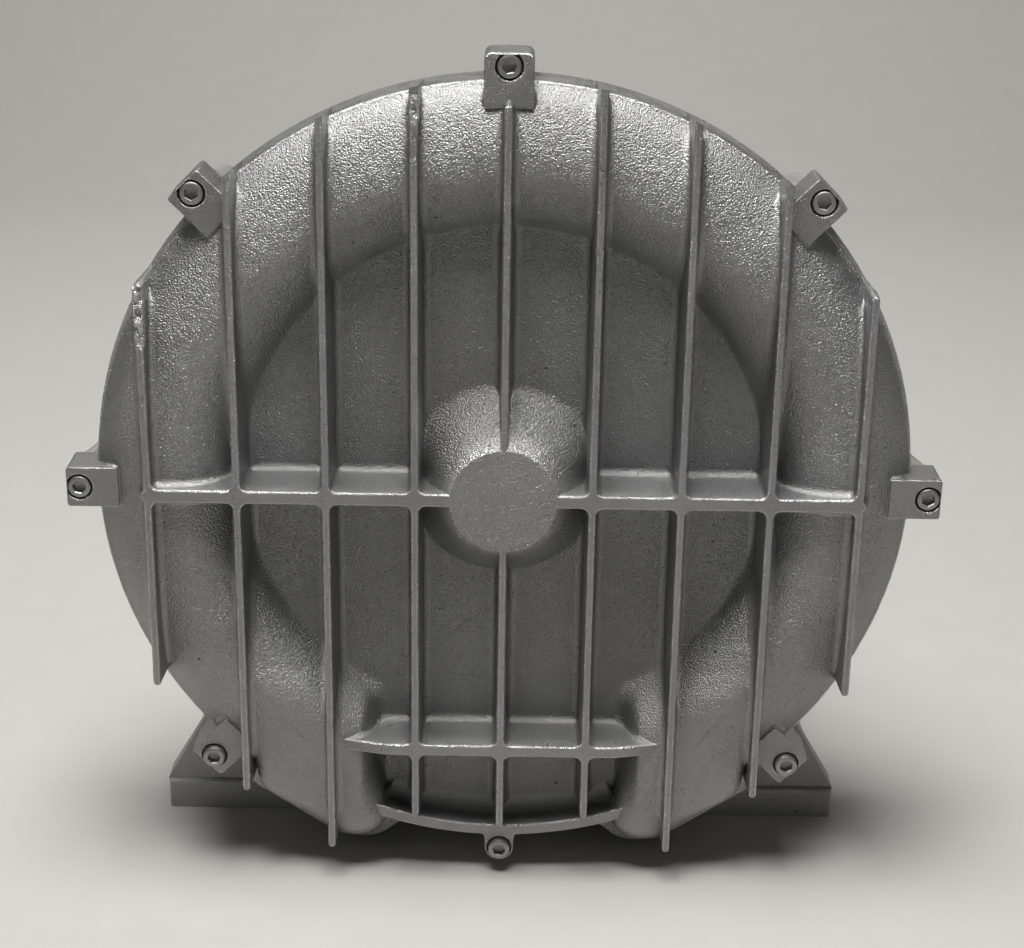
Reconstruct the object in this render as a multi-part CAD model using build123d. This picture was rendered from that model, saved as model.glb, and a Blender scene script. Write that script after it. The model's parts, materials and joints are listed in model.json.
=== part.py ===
"""Side channel blower: one-stage regenerative blower on a foot-mounted, fan-cooled motor.

Every piece is drawn with the shaft along Y and Y = 0 on the screw lug faces of the front
cover, then set down on its feet by to_row_frame().  Outlines are drawn as (x, z) seen from the
cover side, and turned profiles as (radius, y).  Sizes are in millimetres.
"""
from build123d import *
import math
import os

# ---------------------------------------------------------------- driving dimensions
# Stance
GROUND_CLEARANCE = 10.0     # impeller housing's rim to the ground
FOOT_CENTRE_Y = 150.0       # lug faces of the cover to the middle of the foot holes
FOOT_SPACING_X = 290.0
FOOT_SPACING_Y = 130.0
FOOT_HOLE_R = 7.0
FOOT_THICKNESS = 15.0
FOOT_LENGTH = 190.0
FOOT_EDGE = 18.0            # hole centres to the outer edge
FOOT_TAPER = 7.0            # outer edge runs in by this much behind the front holes
FOOT_ROOT = 23.0            # port axis to the inner edge in front of the silencer
FOOT_NOSE_R = 2.5           # rounded top edge at the front of the foot
WEB_SETBACK = 3.0           # front of the foot to the web that stands on it
WEB_LEAN = 7.0              # web face leans back by this much as it climbs behind the lower lug
WEB_THICKNESS = 14.0
WEB_GAP = 0.5               # web to the housing that it stands beside

# Impeller and its chamber
IMPELLER_R = 171.4
IMPELLER_WIDTH = 36.0
SIDE_CLEARANCE = 0.4        # impeller face to each stationary face
TIP_CLEARANCE = 0.6

# Cover outline and cast wall
COVER_WALL = 4.5
PARTING_Y = 20.0            # plane where the cover meets the impeller housing
FLANGE_FRONT_Y = 10.0
FLANGE_SETBACK = 1.7        # cover's edge inside the housing's rim
PANEL_FACE_Y = 15.5
CHANNEL_INNER_R = 26.8      # radius of the side channel's section
CHANNEL_LAND = 0.2          # side channel's outer edge to the chamber's bore
CHANNEL_DEPTH_OFFSET = 7.3  # parting plane to the centre of the channel's section
EDGE_R = 1.2

# Cover ribs
RIB_FRONT_Y = -10.0
RIB_PITCH = 38.4
RIB_PAIRS = 4               # upright ribs each side of the middle one
RIB_WIDTH = 3.4
RIB_DRAFT = 2.4             # degrees
RIB_TOP_INSET = [7.3, 0.3, 0.3, 0.3, 0.3]         # top ends inside the flange, middle rib outwards
RIB_LOW_REACH = {2: 10.9, 3: 7.7, 4: -0.3}        # bottom ends beyond the flange, outer pairs
CROSS_RIB_WIDTH = 6.0
LOWER_RIB_RISE = 43.5       # short cross rib above the band
LOWER_RIB_WIDTH = 5.5
LOWER_RIB_LAP = 22.0        # its ends run onto the duct lobes

# Cover hub
HUB_FACE_R = 24.0
HUB_BASE_R = 44.0
HUB_HOLLOW_R = 17.0

# Bottom of the cover: duct lobes and the band between them
LOBE_FRONT_Y = -3.9
LOBE_DRAFT = 7.0            # degrees
LOBE_EDGE_R = 9.0
LOBE_INNER_X = 48.0
LOBE_TOE = 14.0             # inner edge to the start of the flat bottom
LOBE_BOTTOM_WIDTH = 18.0
LOBE_BOTTOM_INSET = 1.8     # flat bottom inside the flange circle
LOBE_CORNER_DROP = 1.4      # inner corner below the band's outer edge
LOBE_SHOULDER = [(-6.4, 226.65), (11.6, 233.67)]  # (beyond the flange circle, degrees)
LOBE_LOW_CORNERS = 4        # corners rounded, counted from the lowest
LOBE_CORNER_R = 7.0
LOBE_BEND_R = 16.0
LOBE_ARC = 24.0             # degrees of the channel's inner circle that the lobe follows
LOBE_OVERLAP = 16.0         # channel torus runs into the lobe by this much
BAND_FRONT_Y = 0.0
BAND_INSET = 7.8            # band's outer edge inside the flange circle
BAND_WIDTH = 5.5
BAND_LAP = 8.0              # band's ends run onto the lobes

# Cover screws: M6 socket head
SCREW_STANDOFF = 5.0        # screw circle outside the housing's rim
SCREW_ANGLES = [0, 45, 90, 135, 180, 225, 315]
PROUD_ANGLES = [225, 315]   # lugs with a shallow spot face instead of a counterbore
LUG_END = 5.5               # screw to the lug's outer end
LUG_ROOT = 17.0             # screw to the lug's root in the flange
LUG_WIDTH = 18.0
TOP_LUG_WIDTH = 20.5
EAR_R = 6.5
EAR_FLARE = 4.0             # ear's neck wider than the ear by this much
BOSS_DEPTH = 28.0           # housing boss behind each lug
BOSS_NOSE_R = 7.2
SCREW_R = 3.0
SCREW_CLEARANCE = 0.3
SCREW_HEAD_R = 5.0
SCREW_HEAD = 6.0
SCREW_HEX_AF = 5.0
SCREW_HEAD_CLEARANCE = 0.7  # radial, head in its counterbore
COUNTERBORE_DEPTH = 6.0
SPOT_FACE_DEPTH = 3.5
SCREW_ENGAGEMENT = 18.0     # thread in the housing's boss

# Impeller housing
RIM_WALL = 8.0              # chamber bore to the housing's rim
HOUSING_WALL = 5.0
HOUSING_BACK_WALL = 9.0
MOTOR_FLANGE_EDGE = 4.0     # motor flange outside the fin tips
MOTOR_FLANGE_RING = 22.0
BEARING_RECESS = 11.0       # drive end bearing inside the motor flange's face
BACK_RIB_COUNT = 12
BACK_RIB_WIDTH = 5.0

# Impeller details
BUCKET_LENGTH = 52.4
BUCKET_RING = 7.0
BLADE_COUNT = 44
BLADE_THICKNESS = 2.6
IMPELLER_MID_DISC = 4.0
IMPELLER_WEB = 8.0
IMPELLER_HUB_R = 26.0
LIGHTENING_HOLE_R = 13.0
LIGHTENING_CIRCLE_R = 72.0
LIGHTENING_COUNT = 6

# Shaft and its fits
HUB_SETBACK = 3.6           # impeller hub's face behind the bucket faces
CLAMP_GAP = 1.0             # shaft end below the impeller hub's face
IMPELLER_SEAT_R = 12.0
BEARING_SEAT_R = 12.5
SHOULDER_R = 16.0
ROTOR_SEAT_R = 19.0
FAN_SEAT_R = 10.0
KEY_WIDTH = 8.0
KEY_DEPTH_IN_SHAFT = 4.0
KEY_HEIGHT = 7.0
KEY_LENGTH = 25.0
CLAMP_BOLT_R = 4.0
CLAMP_BOLT_LENGTH = 25.0
CLAMP_WASHER_R = 17.0
CLAMP_WASHER = 4.0
BOLT_HEAD_AF = 13.0
BOLT_HEAD_HEIGHT = 5.3

# Deep groove ball bearings 6205 at both ends
BEARING_BORE_R = BEARING_SEAT_R
BEARING_OUTER_R = 26.0
BEARING_WIDTH = 15.0
BALL_R = 3.97
BALL_COUNT = 9
BALL_CLEARANCE = 0.05
INNER_RING_WALL = 3.7
OUTER_RING_WALL = 3.5
CAGE_WALL = 1.8
CAGE_WIDTH = 10.4
SEAL_POCKET = 13.2          # chamber's rear face to the drive end bearing

# Seal, spacer, retainer
SPACER_R = 16.0
SEAL_R = 23.5
SEAL_WIDTH = 7.0
SEAL_GAP = 0.05
RETAINER_EDGE = 6.5         # its screws to its outer edge
RETAINER_THICKNESS = 5.0
RETAINER_SCREW_OFFSET = 5.5 # bearing's outside to the screws
RETAINER_ANGLES = [90, 210, 330]
RETAINER_SCREW_R = 2.5      # M5
RETAINER_SCREW_DEPTH = 10.0
RETAINER_SCREW_AF = 8.0
RETAINER_SCREW_HEAD = 3.5
BEARING_BOSS_EDGE = 2.0     # boss outside the retainer

# Motor
FRAME_BORE_R = 65.0
FRAME_WALL = 7.0
FIN_TIP_R = 88.0
FIN_COUNT = 36
FIN_THICKNESS = 3.0
MOTOR_LENGTH = 220.0
STATOR_BORE_R = 41.0
AIR_GAP = 0.4
STACK_LENGTH = 105.0
STACK_START = 62.0          # from the motor flange to the core
WINDING_OVERHANG = 24.0
WINDING_INSET = 4.0         # end turns inside the core's bore and back
WINDING_EDGE_R = 6.0
END_RING_WIDTH = 9.0
SHIELD_THICKNESS = 8.0
SHIELD_BOSS_WALL = 8.0
SHIELD_LIP = 3.0            # shield behind the fan end bearing
SPIGOT_DEPTH = 6.0
SPIGOT_WALL = 5.0
TIE_BOLT_INSET = 8.5        # inside the fin tips
TIE_ANGLES = [45, 135, 225, 315]
TIE_BOLT_R = 3.0
TIE_BOLT_DEPTH = 16.0       # thread in the housing's motor flange
TIE_BOLT_CLEARANCE = 0.4
TIE_BOLT_HEAD_R = 5.0
TIE_BOLT_HEAD = 6.0
SPRING_THICKNESS = 1.5

# Cooling fan and cowl
FAN_GAP = 6.0               # end shield to the fan
FAN_WIDTH = 22.0
FAN_TIP_GAP = 12.3          # fan to the cowl's bore
FAN_BLADES = 8
FAN_DISC = 3.0
FAN_HUB_R = 18.0
FAN_BLADE_THICKNESS = 2.5
CLIP_WIDTH = 1.2
COWL_SHEET = 1.2
COWL_FIT = 0.3              # fin tips to the cowl's bore
COWL_OVERLAP = 30.0         # cowl over the fins
COWL_END_GAP = 14.0         # fan to the grille
GRILLE_RADII = (26.0, 42.0, 58.0)
GRILLE_SLOT_COUNTS = (14, 20, 28)
GRILLE_SLOT_WIDTH = 4.0
GRILLE_SLOT_LENGTH = 12.0
COWL_ANGLES = [0, 90, 180, 270]
COWL_SCREW_R = 2.5          # M5
COWL_SCREW_DEPTH = 12.0
COWL_BOSS_WIDTH = 11.0
COWL_CORNER_R = 6.0

# Terminal box
PAD_RISE = 2.0              # pad above the fin tips
PAD_HALF_WIDTH = 46.0
BOX_LEAD = 21.0             # box front ahead of the stator core
BOX_LENGTH = 108.0
BOX_HALF_WIDTH = 73.0
BOX_GASKET = 1.5
BOX_BASE_HEIGHT = 27.0
LID_HEIGHT = 11.0
BOX_WALL = 4.0
BOX_CORNER_R = 9.0
CABLE_WINDOW = (44.0, 30.0)
LID_SCREW_INSET = 9.0
BOX_SCREW_SPACING = (68.0, 80.0)
BOX_SCREW_R = 2.5           # M5
BOX_SCREW_DEPTH = 10.0
BOX_SCREW_AF = 8.0
BOX_SCREW_HEAD = 3.5
LID_SCREW_R = 2.0           # M4
LID_SCREW_HEAD_R = 3.8
LID_SCREW_HEAD = 3.0
LID_SCREW_DEPTH = 12.0
LID_PILLAR_R = 6.0
GLAND_THREAD_R = 10.0       # M20 x 1.5
GLAND_CABLE_R = 5.0
GLAND_AF = 24.0
GLAND_BODY_LENGTH = 12.0
GLAND_NUT_LENGTH = 17.0
PLUG_THREAD_R = 10.0        # M20 x 1.5 blanking plug
BOARD_SIZE = (64.0, 44.0, 10.0)
STUD_R = 2.5
STUD_PITCH = 18.0
STUD_ROW_GAP = 22.0
STUD_HEIGHT = 11.0
LINK_WIDTH = 8.0
LINK_THICKNESS = 1.5
LID_EDGE_R = 3.0
GLAND_WALL = 2.5
GLAND_DOME_R = 5.0
PLUG_RIM = 3.0

# Silencers under the motor
GUSSET_COUNT = 3
GUSSET_THICKNESS = 6.0
PORT_OFFSET = 30.0          # port axis outside the lobe's inner edge
PORT_FLANGE_WIDTH = 92.0
PORT_FLANGE_HEIGHT = 76.0
PORT_FLANGE_CORNER_R = 12.0
PORT_FOOT_GAP = 2.0         # port flange above the foot
PORT_SCREW_INSET = 9.0
DUCT_R = 28.0
PORT_STANDOFF = 6.7         # port face behind the rear side channel
PORT_GASKET = 1.0
SILENCER_LENGTH = 230.0
SILENCER_INSET = 1.0        # tube inside its flanges' height
SILENCER_WALL = 4.0
SILENCER_FLANGE = 10.0
FOAM_BORE_R = 25.0
FOAM_END_GAP = 12.0
PORT_PLATE = 24.0
PORT_THREAD_R = 28.35       # G 2 internal thread, crest radius
PORT_SCREW_R = 4.0          # M8
PORT_SCREW_CLEARANCE = 0.5
PORT_SCREW_DEPTH = 14.0
PORT_SCREW_AF = 13.0
PORT_SCREW_HEAD = 5.3

# ---------------------------------------------------------------- derived places
# Radii
CHAMBER_R = IMPELLER_R + TIP_CLEARANCE
HOUSING_RIM_R = CHAMBER_R + RIM_WALL
FLANGE_R = HOUSING_RIM_R - FLANGE_SETBACK
CHANNEL_CENTRE_R = CHAMBER_R - CHANNEL_LAND - CHANNEL_INNER_R
BUCKET_ROOT_R = IMPELLER_R - BUCKET_LENGTH
BAND_OUTER_R = FLANGE_R - BAND_INSET
BAND_INNER_R = BAND_OUTER_R - BAND_WIDTH
SCREW_CIRCLE_R = HOUSING_RIM_R + SCREW_STANDOFF
BOTTOM_SCREW_R = BAND_OUTER_R + EAR_R
LUG_OUTER_R = SCREW_CIRCLE_R + LUG_END
LUG_INNER_R = SCREW_CIRCLE_R - LUG_ROOT
SCREW_HOLE_R = SCREW_R + SCREW_CLEARANCE
BALL_CIRCLE_R = (BEARING_BORE_R + BEARING_OUTER_R) / 2
RETAINER_SCREW_CIRCLE_R = BEARING_OUTER_R + RETAINER_SCREW_OFFSET
RETAINER_R = RETAINER_SCREW_CIRCLE_R + RETAINER_EDGE
BEARING_BOSS_R = RETAINER_R + BEARING_BOSS_EDGE
WINDING_INNER_R = STATOR_BORE_R + WINDING_INSET
WINDING_OUTER_R = FRAME_BORE_R - WINDING_INSET
MOTOR_FLANGE_R = FIN_TIP_R + MOTOR_FLANGE_EDGE
TIE_BOLT_CIRCLE_R = FIN_TIP_R - TIE_BOLT_INSET
TIE_BOLT_HOLE_R = TIE_BOLT_R + TIE_BOLT_CLEARANCE
COWL_BORE_R = FIN_TIP_R + COWL_FIT
FAN_R = COWL_BORE_R - FAN_TIP_GAP
SILENCER_OUTER_R = PORT_FLANGE_HEIGHT / 2 - SILENCER_INSET
PORT_SCREW_HOLE_R = PORT_SCREW_R + PORT_SCREW_CLEARANCE

# Heights and widths
SHAFT_HEIGHT = HOUSING_RIM_R + GROUND_CLEARANCE
FOOT_TOP_Z = FOOT_THICKNESS - SHAFT_HEIGHT
PORT_X = LOBE_INNER_X + PORT_OFFSET
PORT_Z = FOOT_TOP_Z + PORT_FOOT_GAP + PORT_FLANGE_HEIGHT / 2
PORT_SCREW_SPACING = (PORT_FLANGE_WIDTH - 2 * PORT_SCREW_INSET, PORT_FLANGE_HEIGHT - 2 * PORT_SCREW_INSET)
FOOT_HALF_WIDTH = FOOT_SPACING_X / 2 + FOOT_EDGE
FOOT_WAIST_HALF_WIDTH = FOOT_HALF_WIDTH - FOOT_TAPER
FOOT_INNER_X = PORT_X + FOOT_ROOT
LOWER_RIB_Z = LOWER_RIB_RISE - BAND_INNER_R
LOWER_RIB_HALF_LENGTH = LOBE_INNER_X + LOWER_RIB_LAP
LOBE_BOTTOM_Z = LOBE_BOTTOM_INSET - FLANGE_R
LOBE_CORNER_Z = -math.sqrt(BAND_OUTER_R ** 2 - LOBE_INNER_X ** 2) - LOBE_CORNER_DROP
PAD_TOP_Z = FIN_TIP_R + PAD_RISE
BOX_FLOOR_Z = PAD_TOP_Z + BOX_GASKET
BOX_RIM_Z = BOX_FLOOR_Z + BOX_BASE_HEIGHT
LID_Z = BOX_RIM_Z + BOX_GASKET

# Places along the shaft
COVER_CHANNEL_Y = PARTING_Y + CHANNEL_DEPTH_OFFSET
SCREW_GRIP = PARTING_Y + SCREW_ENGAGEMENT
IMPELLER_FRONT_Y = PARTING_Y + SIDE_CLEARANCE
IMPELLER_REAR_Y = IMPELLER_FRONT_Y + IMPELLER_WIDTH
IMPELLER_HUB_Y = IMPELLER_FRONT_Y + HUB_SETBACK
SHAFT_FRONT_Y = IMPELLER_HUB_Y + CLAMP_GAP
CHAMBER_REAR_Y = IMPELLER_REAR_Y + SIDE_CLEARANCE
HOUSING_CHANNEL_Y = CHAMBER_REAR_Y - CHANNEL_DEPTH_OFFSET
HOUSING_CREST_Y = HOUSING_CHANNEL_Y + CHANNEL_INNER_R + HOUSING_WALL
HOUSING_PORT_FACE_Y = HOUSING_CREST_Y + PORT_STANDOFF
BACK_WALL_Y = CHAMBER_REAR_Y + HOUSING_BACK_WALL
DRIVE_BEARING_Y = CHAMBER_REAR_Y + SEAL_POCKET
DRIVE_BEARING_END_Y = DRIVE_BEARING_Y + BEARING_WIDTH
MOTOR_FLANGE_Y = DRIVE_BEARING_END_Y + BEARING_RECESS
STACK_Y = MOTOR_FLANGE_Y + STACK_START
STACK_END_Y = STACK_Y + STACK_LENGTH
FRAME_END_Y = MOTOR_FLANGE_Y + MOTOR_LENGTH
SHIELD_END_Y = FRAME_END_Y + SHIELD_THICKNESS
REAR_BEARING_END_Y = SHIELD_END_Y - SHIELD_LIP
REAR_BEARING_Y = REAR_BEARING_END_Y - BEARING_WIDTH
FAN_Y = SHIELD_END_Y + FAN_GAP
FAN_END_Y = FAN_Y + FAN_WIDTH
COWL_END_Y = FAN_END_Y + COWL_END_GAP
BOX_FRONT_Y = STACK_Y - BOX_LEAD
BOX_MID_Y = BOX_FRONT_Y + BOX_LENGTH / 2
SILENCER_Y = HOUSING_PORT_FACE_Y + PORT_GASKET
SILENCER_END_Y = SILENCER_Y + SILENCER_LENGTH
FOOT_FRONT_Y = FOOT_CENTRE_Y - FOOT_LENGTH / 2
FOOT_REAR_Y = FOOT_CENTRE_Y + FOOT_LENGTH / 2


# ---------------------------------------------------------------- drawing helpers
def turned(points, arc=360):
    """Solid turned about the shaft axis from (radius, y) points."""
    return revolve(make_face(Polyline(*points, close=True)), Axis.Y, arc)


def ring(r_in, r_out, y0, y1):
    """Plain ring or disc about the shaft axis."""
    return turned([(r_in, y0), (r_out, y0), (r_out, y1), (r_in, y1)])


def outline(sketch, y):
    """Put an (x, z) sketch on the plane at depth y, facing the cover side."""
    return Plane.XZ.offset(-y) * sketch


def slab(sketch, y0, y1, taper=0.0):
    """Extrude an (x, z) sketch between two depths; it is full size at y1 and tapers to y0."""
    return extrude(outline(sketch, y1), y1 - y0, taper=taper)


def rod(x, z, radius, y0, y1):
    """Round rod parallel to the shaft."""
    return slab(Pos(x, z) * Circle(radius), y0, y1)


def block(x0, x1, y0, y1, z0, z1):
    """Rectangular block from its corners."""
    return Pos((x0 + x1) / 2, (y0 + y1) / 2, (z0 + z1) / 2) * Box(x1 - x0, y1 - y0, z1 - z0)


def polar(radius, degrees):
    """(x, z) on a circle about the shaft, 0 degrees towards +X, counter-clockwise."""
    angle = math.radians(degrees)
    return radius * math.cos(angle), radius * math.sin(angle)


def around(shape, count, start=0.0):
    """Copies of a shape at equal steps about the shaft."""
    return [Rot(0, start + i * 360 / count, 0) * shape for i in range(count)]


def mirrored(shape):
    """The same shape on the other side of the shaft's vertical plane."""
    return mirror(shape, Plane.YZ)


def joined(first, others):
    """Union of one shape with a list of others."""
    return first.fuse(*others)


def without(first, others):
    """One shape with a list of others taken out."""
    return first.cut(*others)


def corners(centre_x, centre_z, spacing):
    """The four corners of a rectangle of holes."""
    half_x, half_z = spacing[0] / 2, spacing[1] / 2
    return [(centre_x + i * half_x, centre_z + j * half_z) for i in (-1, 1) for j in (-1, 1)]


# ---------------------------------------------------------------- front cover
def screw_places():
    """(x, z, counterbore depth, angle) of every cover screw."""
    places = []
    for angle in SCREW_ANGLES:
        depth = SPOT_FACE_DEPTH if angle in PROUD_ANGLES else COUNTERBORE_DEPTH
        places.append((*polar(SCREW_CIRCLE_R, angle), depth, angle))
    places.append((0.0, -BOTTOM_SCREW_R, SPOT_FACE_DEPTH, 270))
    return places


def lug(angle, y0, y1, nose=0.0):
    """Screw lug at the rim: a square-ended block, or round-nosed when nose is its radius."""
    if angle == 270:
        ear = Pos(0, -BOTTOM_SCREW_R) * Circle(EAR_R)
        neck = Pos(0, -(BOTTOM_SCREW_R + BAND_INNER_R) / 2) * Rectangle(
            2 * EAR_R + EAR_FLARE, BOTTOM_SCREW_R - BAND_INNER_R)
        return slab(ear + neck, y0, y1)
    width = TOP_LUG_WIDTH if angle == 90 else LUG_WIDTH
    length = LUG_OUTER_R - LUG_INNER_R
    face = Rot(0, 0, angle) * Pos((LUG_OUTER_R + LUG_INNER_R) / 2, 0) * RectangleRounded(
        length, width, max(nose, EDGE_R))
    return slab(face, y0, y1)


def lobe_outline(inset=0.0):
    """Left duct lobe seen from the front, where the side channel turns down to its port."""
    inner_r = CHANNEL_CENTRE_R - CHANNEL_INNER_R - COVER_WALL / 2
    corner = (-LOBE_INNER_X, -math.sqrt(inner_r ** 2 - LOBE_INNER_X ** 2))
    start_angle = math.degrees(math.atan2(corner[1], corner[0]))
    bend = CenterArc((0, 0), inner_r, start_angle, -LOBE_ARC)
    shoulder = [polar(FLANGE_R + beyond, angle) for beyond, angle in LOBE_SHOULDER]
    toe_x = -LOBE_INNER_X - LOBE_TOE
    rest = [bend @ 1, polar(CHANNEL_CENTRE_R, start_angle - LOBE_ARC), *shoulder,
            (toe_x - LOBE_BOTTOM_WIDTH, LOBE_BOTTOM_Z), (toe_x, LOBE_BOTTOM_Z),
            (-LOBE_INNER_X, LOBE_CORNER_Z), corner]
    face = make_face([bend, Polyline(*rest)])
    face = fillet(face.vertices().sort_by(Axis.Y)[:LOBE_LOW_CORNERS], LOBE_CORNER_R)
    bend_corner = face.vertices().sort_by_distance(corner)[0]
    face = fillet(bend_corner, LOBE_BEND_R)
    return offset(face, -inset) if inset else face


def lobe(y0, y1, inset=0.0, taper=0.0):
    """Left duct lobe as a solid between two depths."""
    return slab(lobe_outline(inset), y0, y1, taper)


def side_channel(centre_y, radius, keep_y0, keep_y1):
    """The part of a channel torus that lies between two depths."""
    section = make_face([CenterArc((CHANNEL_CENTRE_R, centre_y), radius, 0, 360)])
    return revolve(section, Axis.Y) & ring(0, 2 * CHANNEL_CENTRE_R, keep_y0, keep_y1)


def stripper_zone(half_width, y0, y1):
    """Block at the bottom, between the lobes, where no side channel runs."""
    return block(-half_width, half_width, y0, y1, -SHAFT_HEIGHT, -CHANNEL_CENTRE_R / 2)


def rib(x0, z0, x1, z1, width):
    """Drafted rib from the rib plane down into the panel."""
    depth = PANEL_FACE_Y - RIB_FRONT_Y
    spread = 2 * depth * math.tan(math.radians(RIB_DRAFT))
    size_x = max(x1 - x0, width) + spread
    size_z = max(z1 - z0, width) + spread
    face = Pos((x0 + x1) / 2, (z0 + z1) / 2) * Rectangle(size_x, size_z)
    return slab(face, RIB_FRONT_Y, PANEL_FACE_Y, RIB_DRAFT)


def vertical_ribs():
    """Nine upright ribs, each as long as the rim circle lets it be."""
    ribs = []
    for k in range(-RIB_PAIRS, RIB_PAIRS + 1):
        x = k * RIB_PITCH
        top_r = FLANGE_R - RIB_TOP_INSET[abs(k)]
        low_r = (BAND_INNER_R + BAND_OUTER_R) / 2
        if abs(k) in RIB_LOW_REACH:
            low_r = FLANGE_R + RIB_LOW_REACH[abs(k)]
        top, bottom = math.sqrt(top_r ** 2 - x * x), -math.sqrt(low_r ** 2 - x * x)
        ribs.append(rib(x, bottom, x, top, RIB_WIDTH))
    return ribs


def cross_ribs():
    """The long rib through the hub and the short one above the bottom band."""
    reach = RIB_PAIRS * RIB_PITCH
    return [rib(-reach, 0, reach, 0, CROSS_RIB_WIDTH),
            rib(-LOWER_RIB_HALF_LENGTH, LOWER_RIB_Z, LOWER_RIB_HALF_LENGTH, LOWER_RIB_Z, LOWER_RIB_WIDTH)]


def rib_network():
    """All ribs and the conical hub as one form, its front edges rounded in one go."""
    hub = turned([(0, RIB_FRONT_Y), (HUB_FACE_R, RIB_FRONT_Y), (HUB_BASE_R, PANEL_FACE_Y), (0, PANEL_FACE_Y)])
    hub = hub & block(-RIB_PITCH, RIB_PITCH, RIB_FRONT_Y, PANEL_FACE_Y, -HUB_BASE_R, HUB_BASE_R)
    network = joined(hub, vertical_ribs() + cross_ribs())
    front_faces = [face for face in network.faces() if abs(face.center().Y - RIB_FRONT_Y) < EDGE_R / 10]
    return fillet([edge for face in front_faces for edge in face.edges()], EDGE_R)


def front_cover():
    """Ribbed cover: panel, side channel torus, duct lobes, band, ribs, hub and screw lugs."""
    outer_r = CHANNEL_INNER_R + COVER_WALL
    body = ring(0, FLANGE_R, PANEL_FACE_Y, PARTING_Y)
    strip = ring(BAND_INNER_R, FLANGE_R, FLANGE_FRONT_Y, PARTING_Y)
    torus = side_channel(COVER_CHANNEL_Y, outer_r, RIB_FRONT_Y, PARTING_Y)
    body = joined(body, [strip, torus - stripper_zone(LOBE_INNER_X + LOBE_OVERLAP, RIB_FRONT_Y, PARTING_Y)])
    body = without(body, [stripper_zone(LOBE_INNER_X, RIB_FRONT_Y, PARTING_Y)
                          - ring(0, BAND_OUTER_R, PANEL_FACE_Y, PARTING_Y)])
    bulge = lobe(LOBE_FRONT_Y, PARTING_Y, 0.0, LOBE_DRAFT)
    bulge = fillet(bulge.faces().sort_by(Axis.Y)[0].edges(), LOBE_EDGE_R)
    band = ring(BAND_INNER_R, BAND_OUTER_R, BAND_FRONT_Y, PARTING_Y)
    reach = LOBE_INNER_X + BAND_LAP
    band = band & block(-reach, reach, BAND_FRONT_Y, PARTING_Y, -FLANGE_R, 0)
    lugs = [lug(angle, 0, PARTING_Y) for angle in SCREW_ANGLES + [270]]
    body = joined(body, [bulge, mirrored(bulge), band, *lugs, rib_network()])
    channel = side_channel(COVER_CHANNEL_Y, CHANNEL_INNER_R, RIB_FRONT_Y, PARTING_Y)
    channel = channel - stripper_zone(LOBE_INNER_X + LOBE_OVERLAP, RIB_FRONT_Y, PARTING_Y)
    duct = lobe(LOBE_FRONT_Y + COVER_WALL, PARTING_Y, COVER_WALL, LOBE_DRAFT)
    hollow = turned([(0, RIB_FRONT_Y + COVER_WALL), (HUB_HOLLOW_R, RIB_FRONT_Y + COVER_WALL),
                     (HUB_BASE_R - 2 * COVER_WALL, PARTING_Y), (0, PARTING_Y)])
    cuts = [channel, duct, mirrored(duct), hollow]
    for x, z, depth, _ in screw_places():
        cuts.append(rod(x, z, SCREW_HOLE_R, 0, PARTING_Y))
        cuts.append(rod(x, z, SCREW_HEAD_R + SCREW_HEAD_CLEARANCE, 0, depth))
    return without(body, cuts)


# ---------------------------------------------------------------- screws
def socket_screw(radius, grip, head_r, head, hex_af):
    """Socket head cap screw, its head's underside at y = 0 and its shank towards +Y."""
    body = rod(0, 0, head_r, -head, 0) + rod(0, 0, radius, 0, grip)
    socket = slab(RegularPolygon(hex_af / math.sqrt(3), 6), -head, -head / 2)
    return body - socket


def hex_screw(radius, grip, across_flats, head):
    """Hexagon head screw, its head's underside at y = 0 and its shank towards +Y."""
    return slab(RegularPolygon(across_flats / math.sqrt(3), 6), -head, 0) + rod(0, 0, radius, 0, grip)


def cover_screws():
    """Eight M6 socket head screws round the cover."""
    screws = []
    for x, z, depth, _ in screw_places():
        grip = SCREW_GRIP - depth
        screws.append(Pos(x, depth, z) * socket_screw(SCREW_R, grip, SCREW_HEAD_R, SCREW_HEAD, SCREW_HEX_AF))
    return Compound(children=screws)


# ---------------------------------------------------------------- impeller housing
def port_plate(x, y0, y1):
    """Rounded rectangular flange of one silencer port."""
    face = Pos(x, PORT_Z) * RectangleRounded(PORT_FLANGE_WIDTH, PORT_FLANGE_HEIGHT, PORT_FLANGE_CORNER_R)
    return slab(face, y0, y1)


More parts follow.
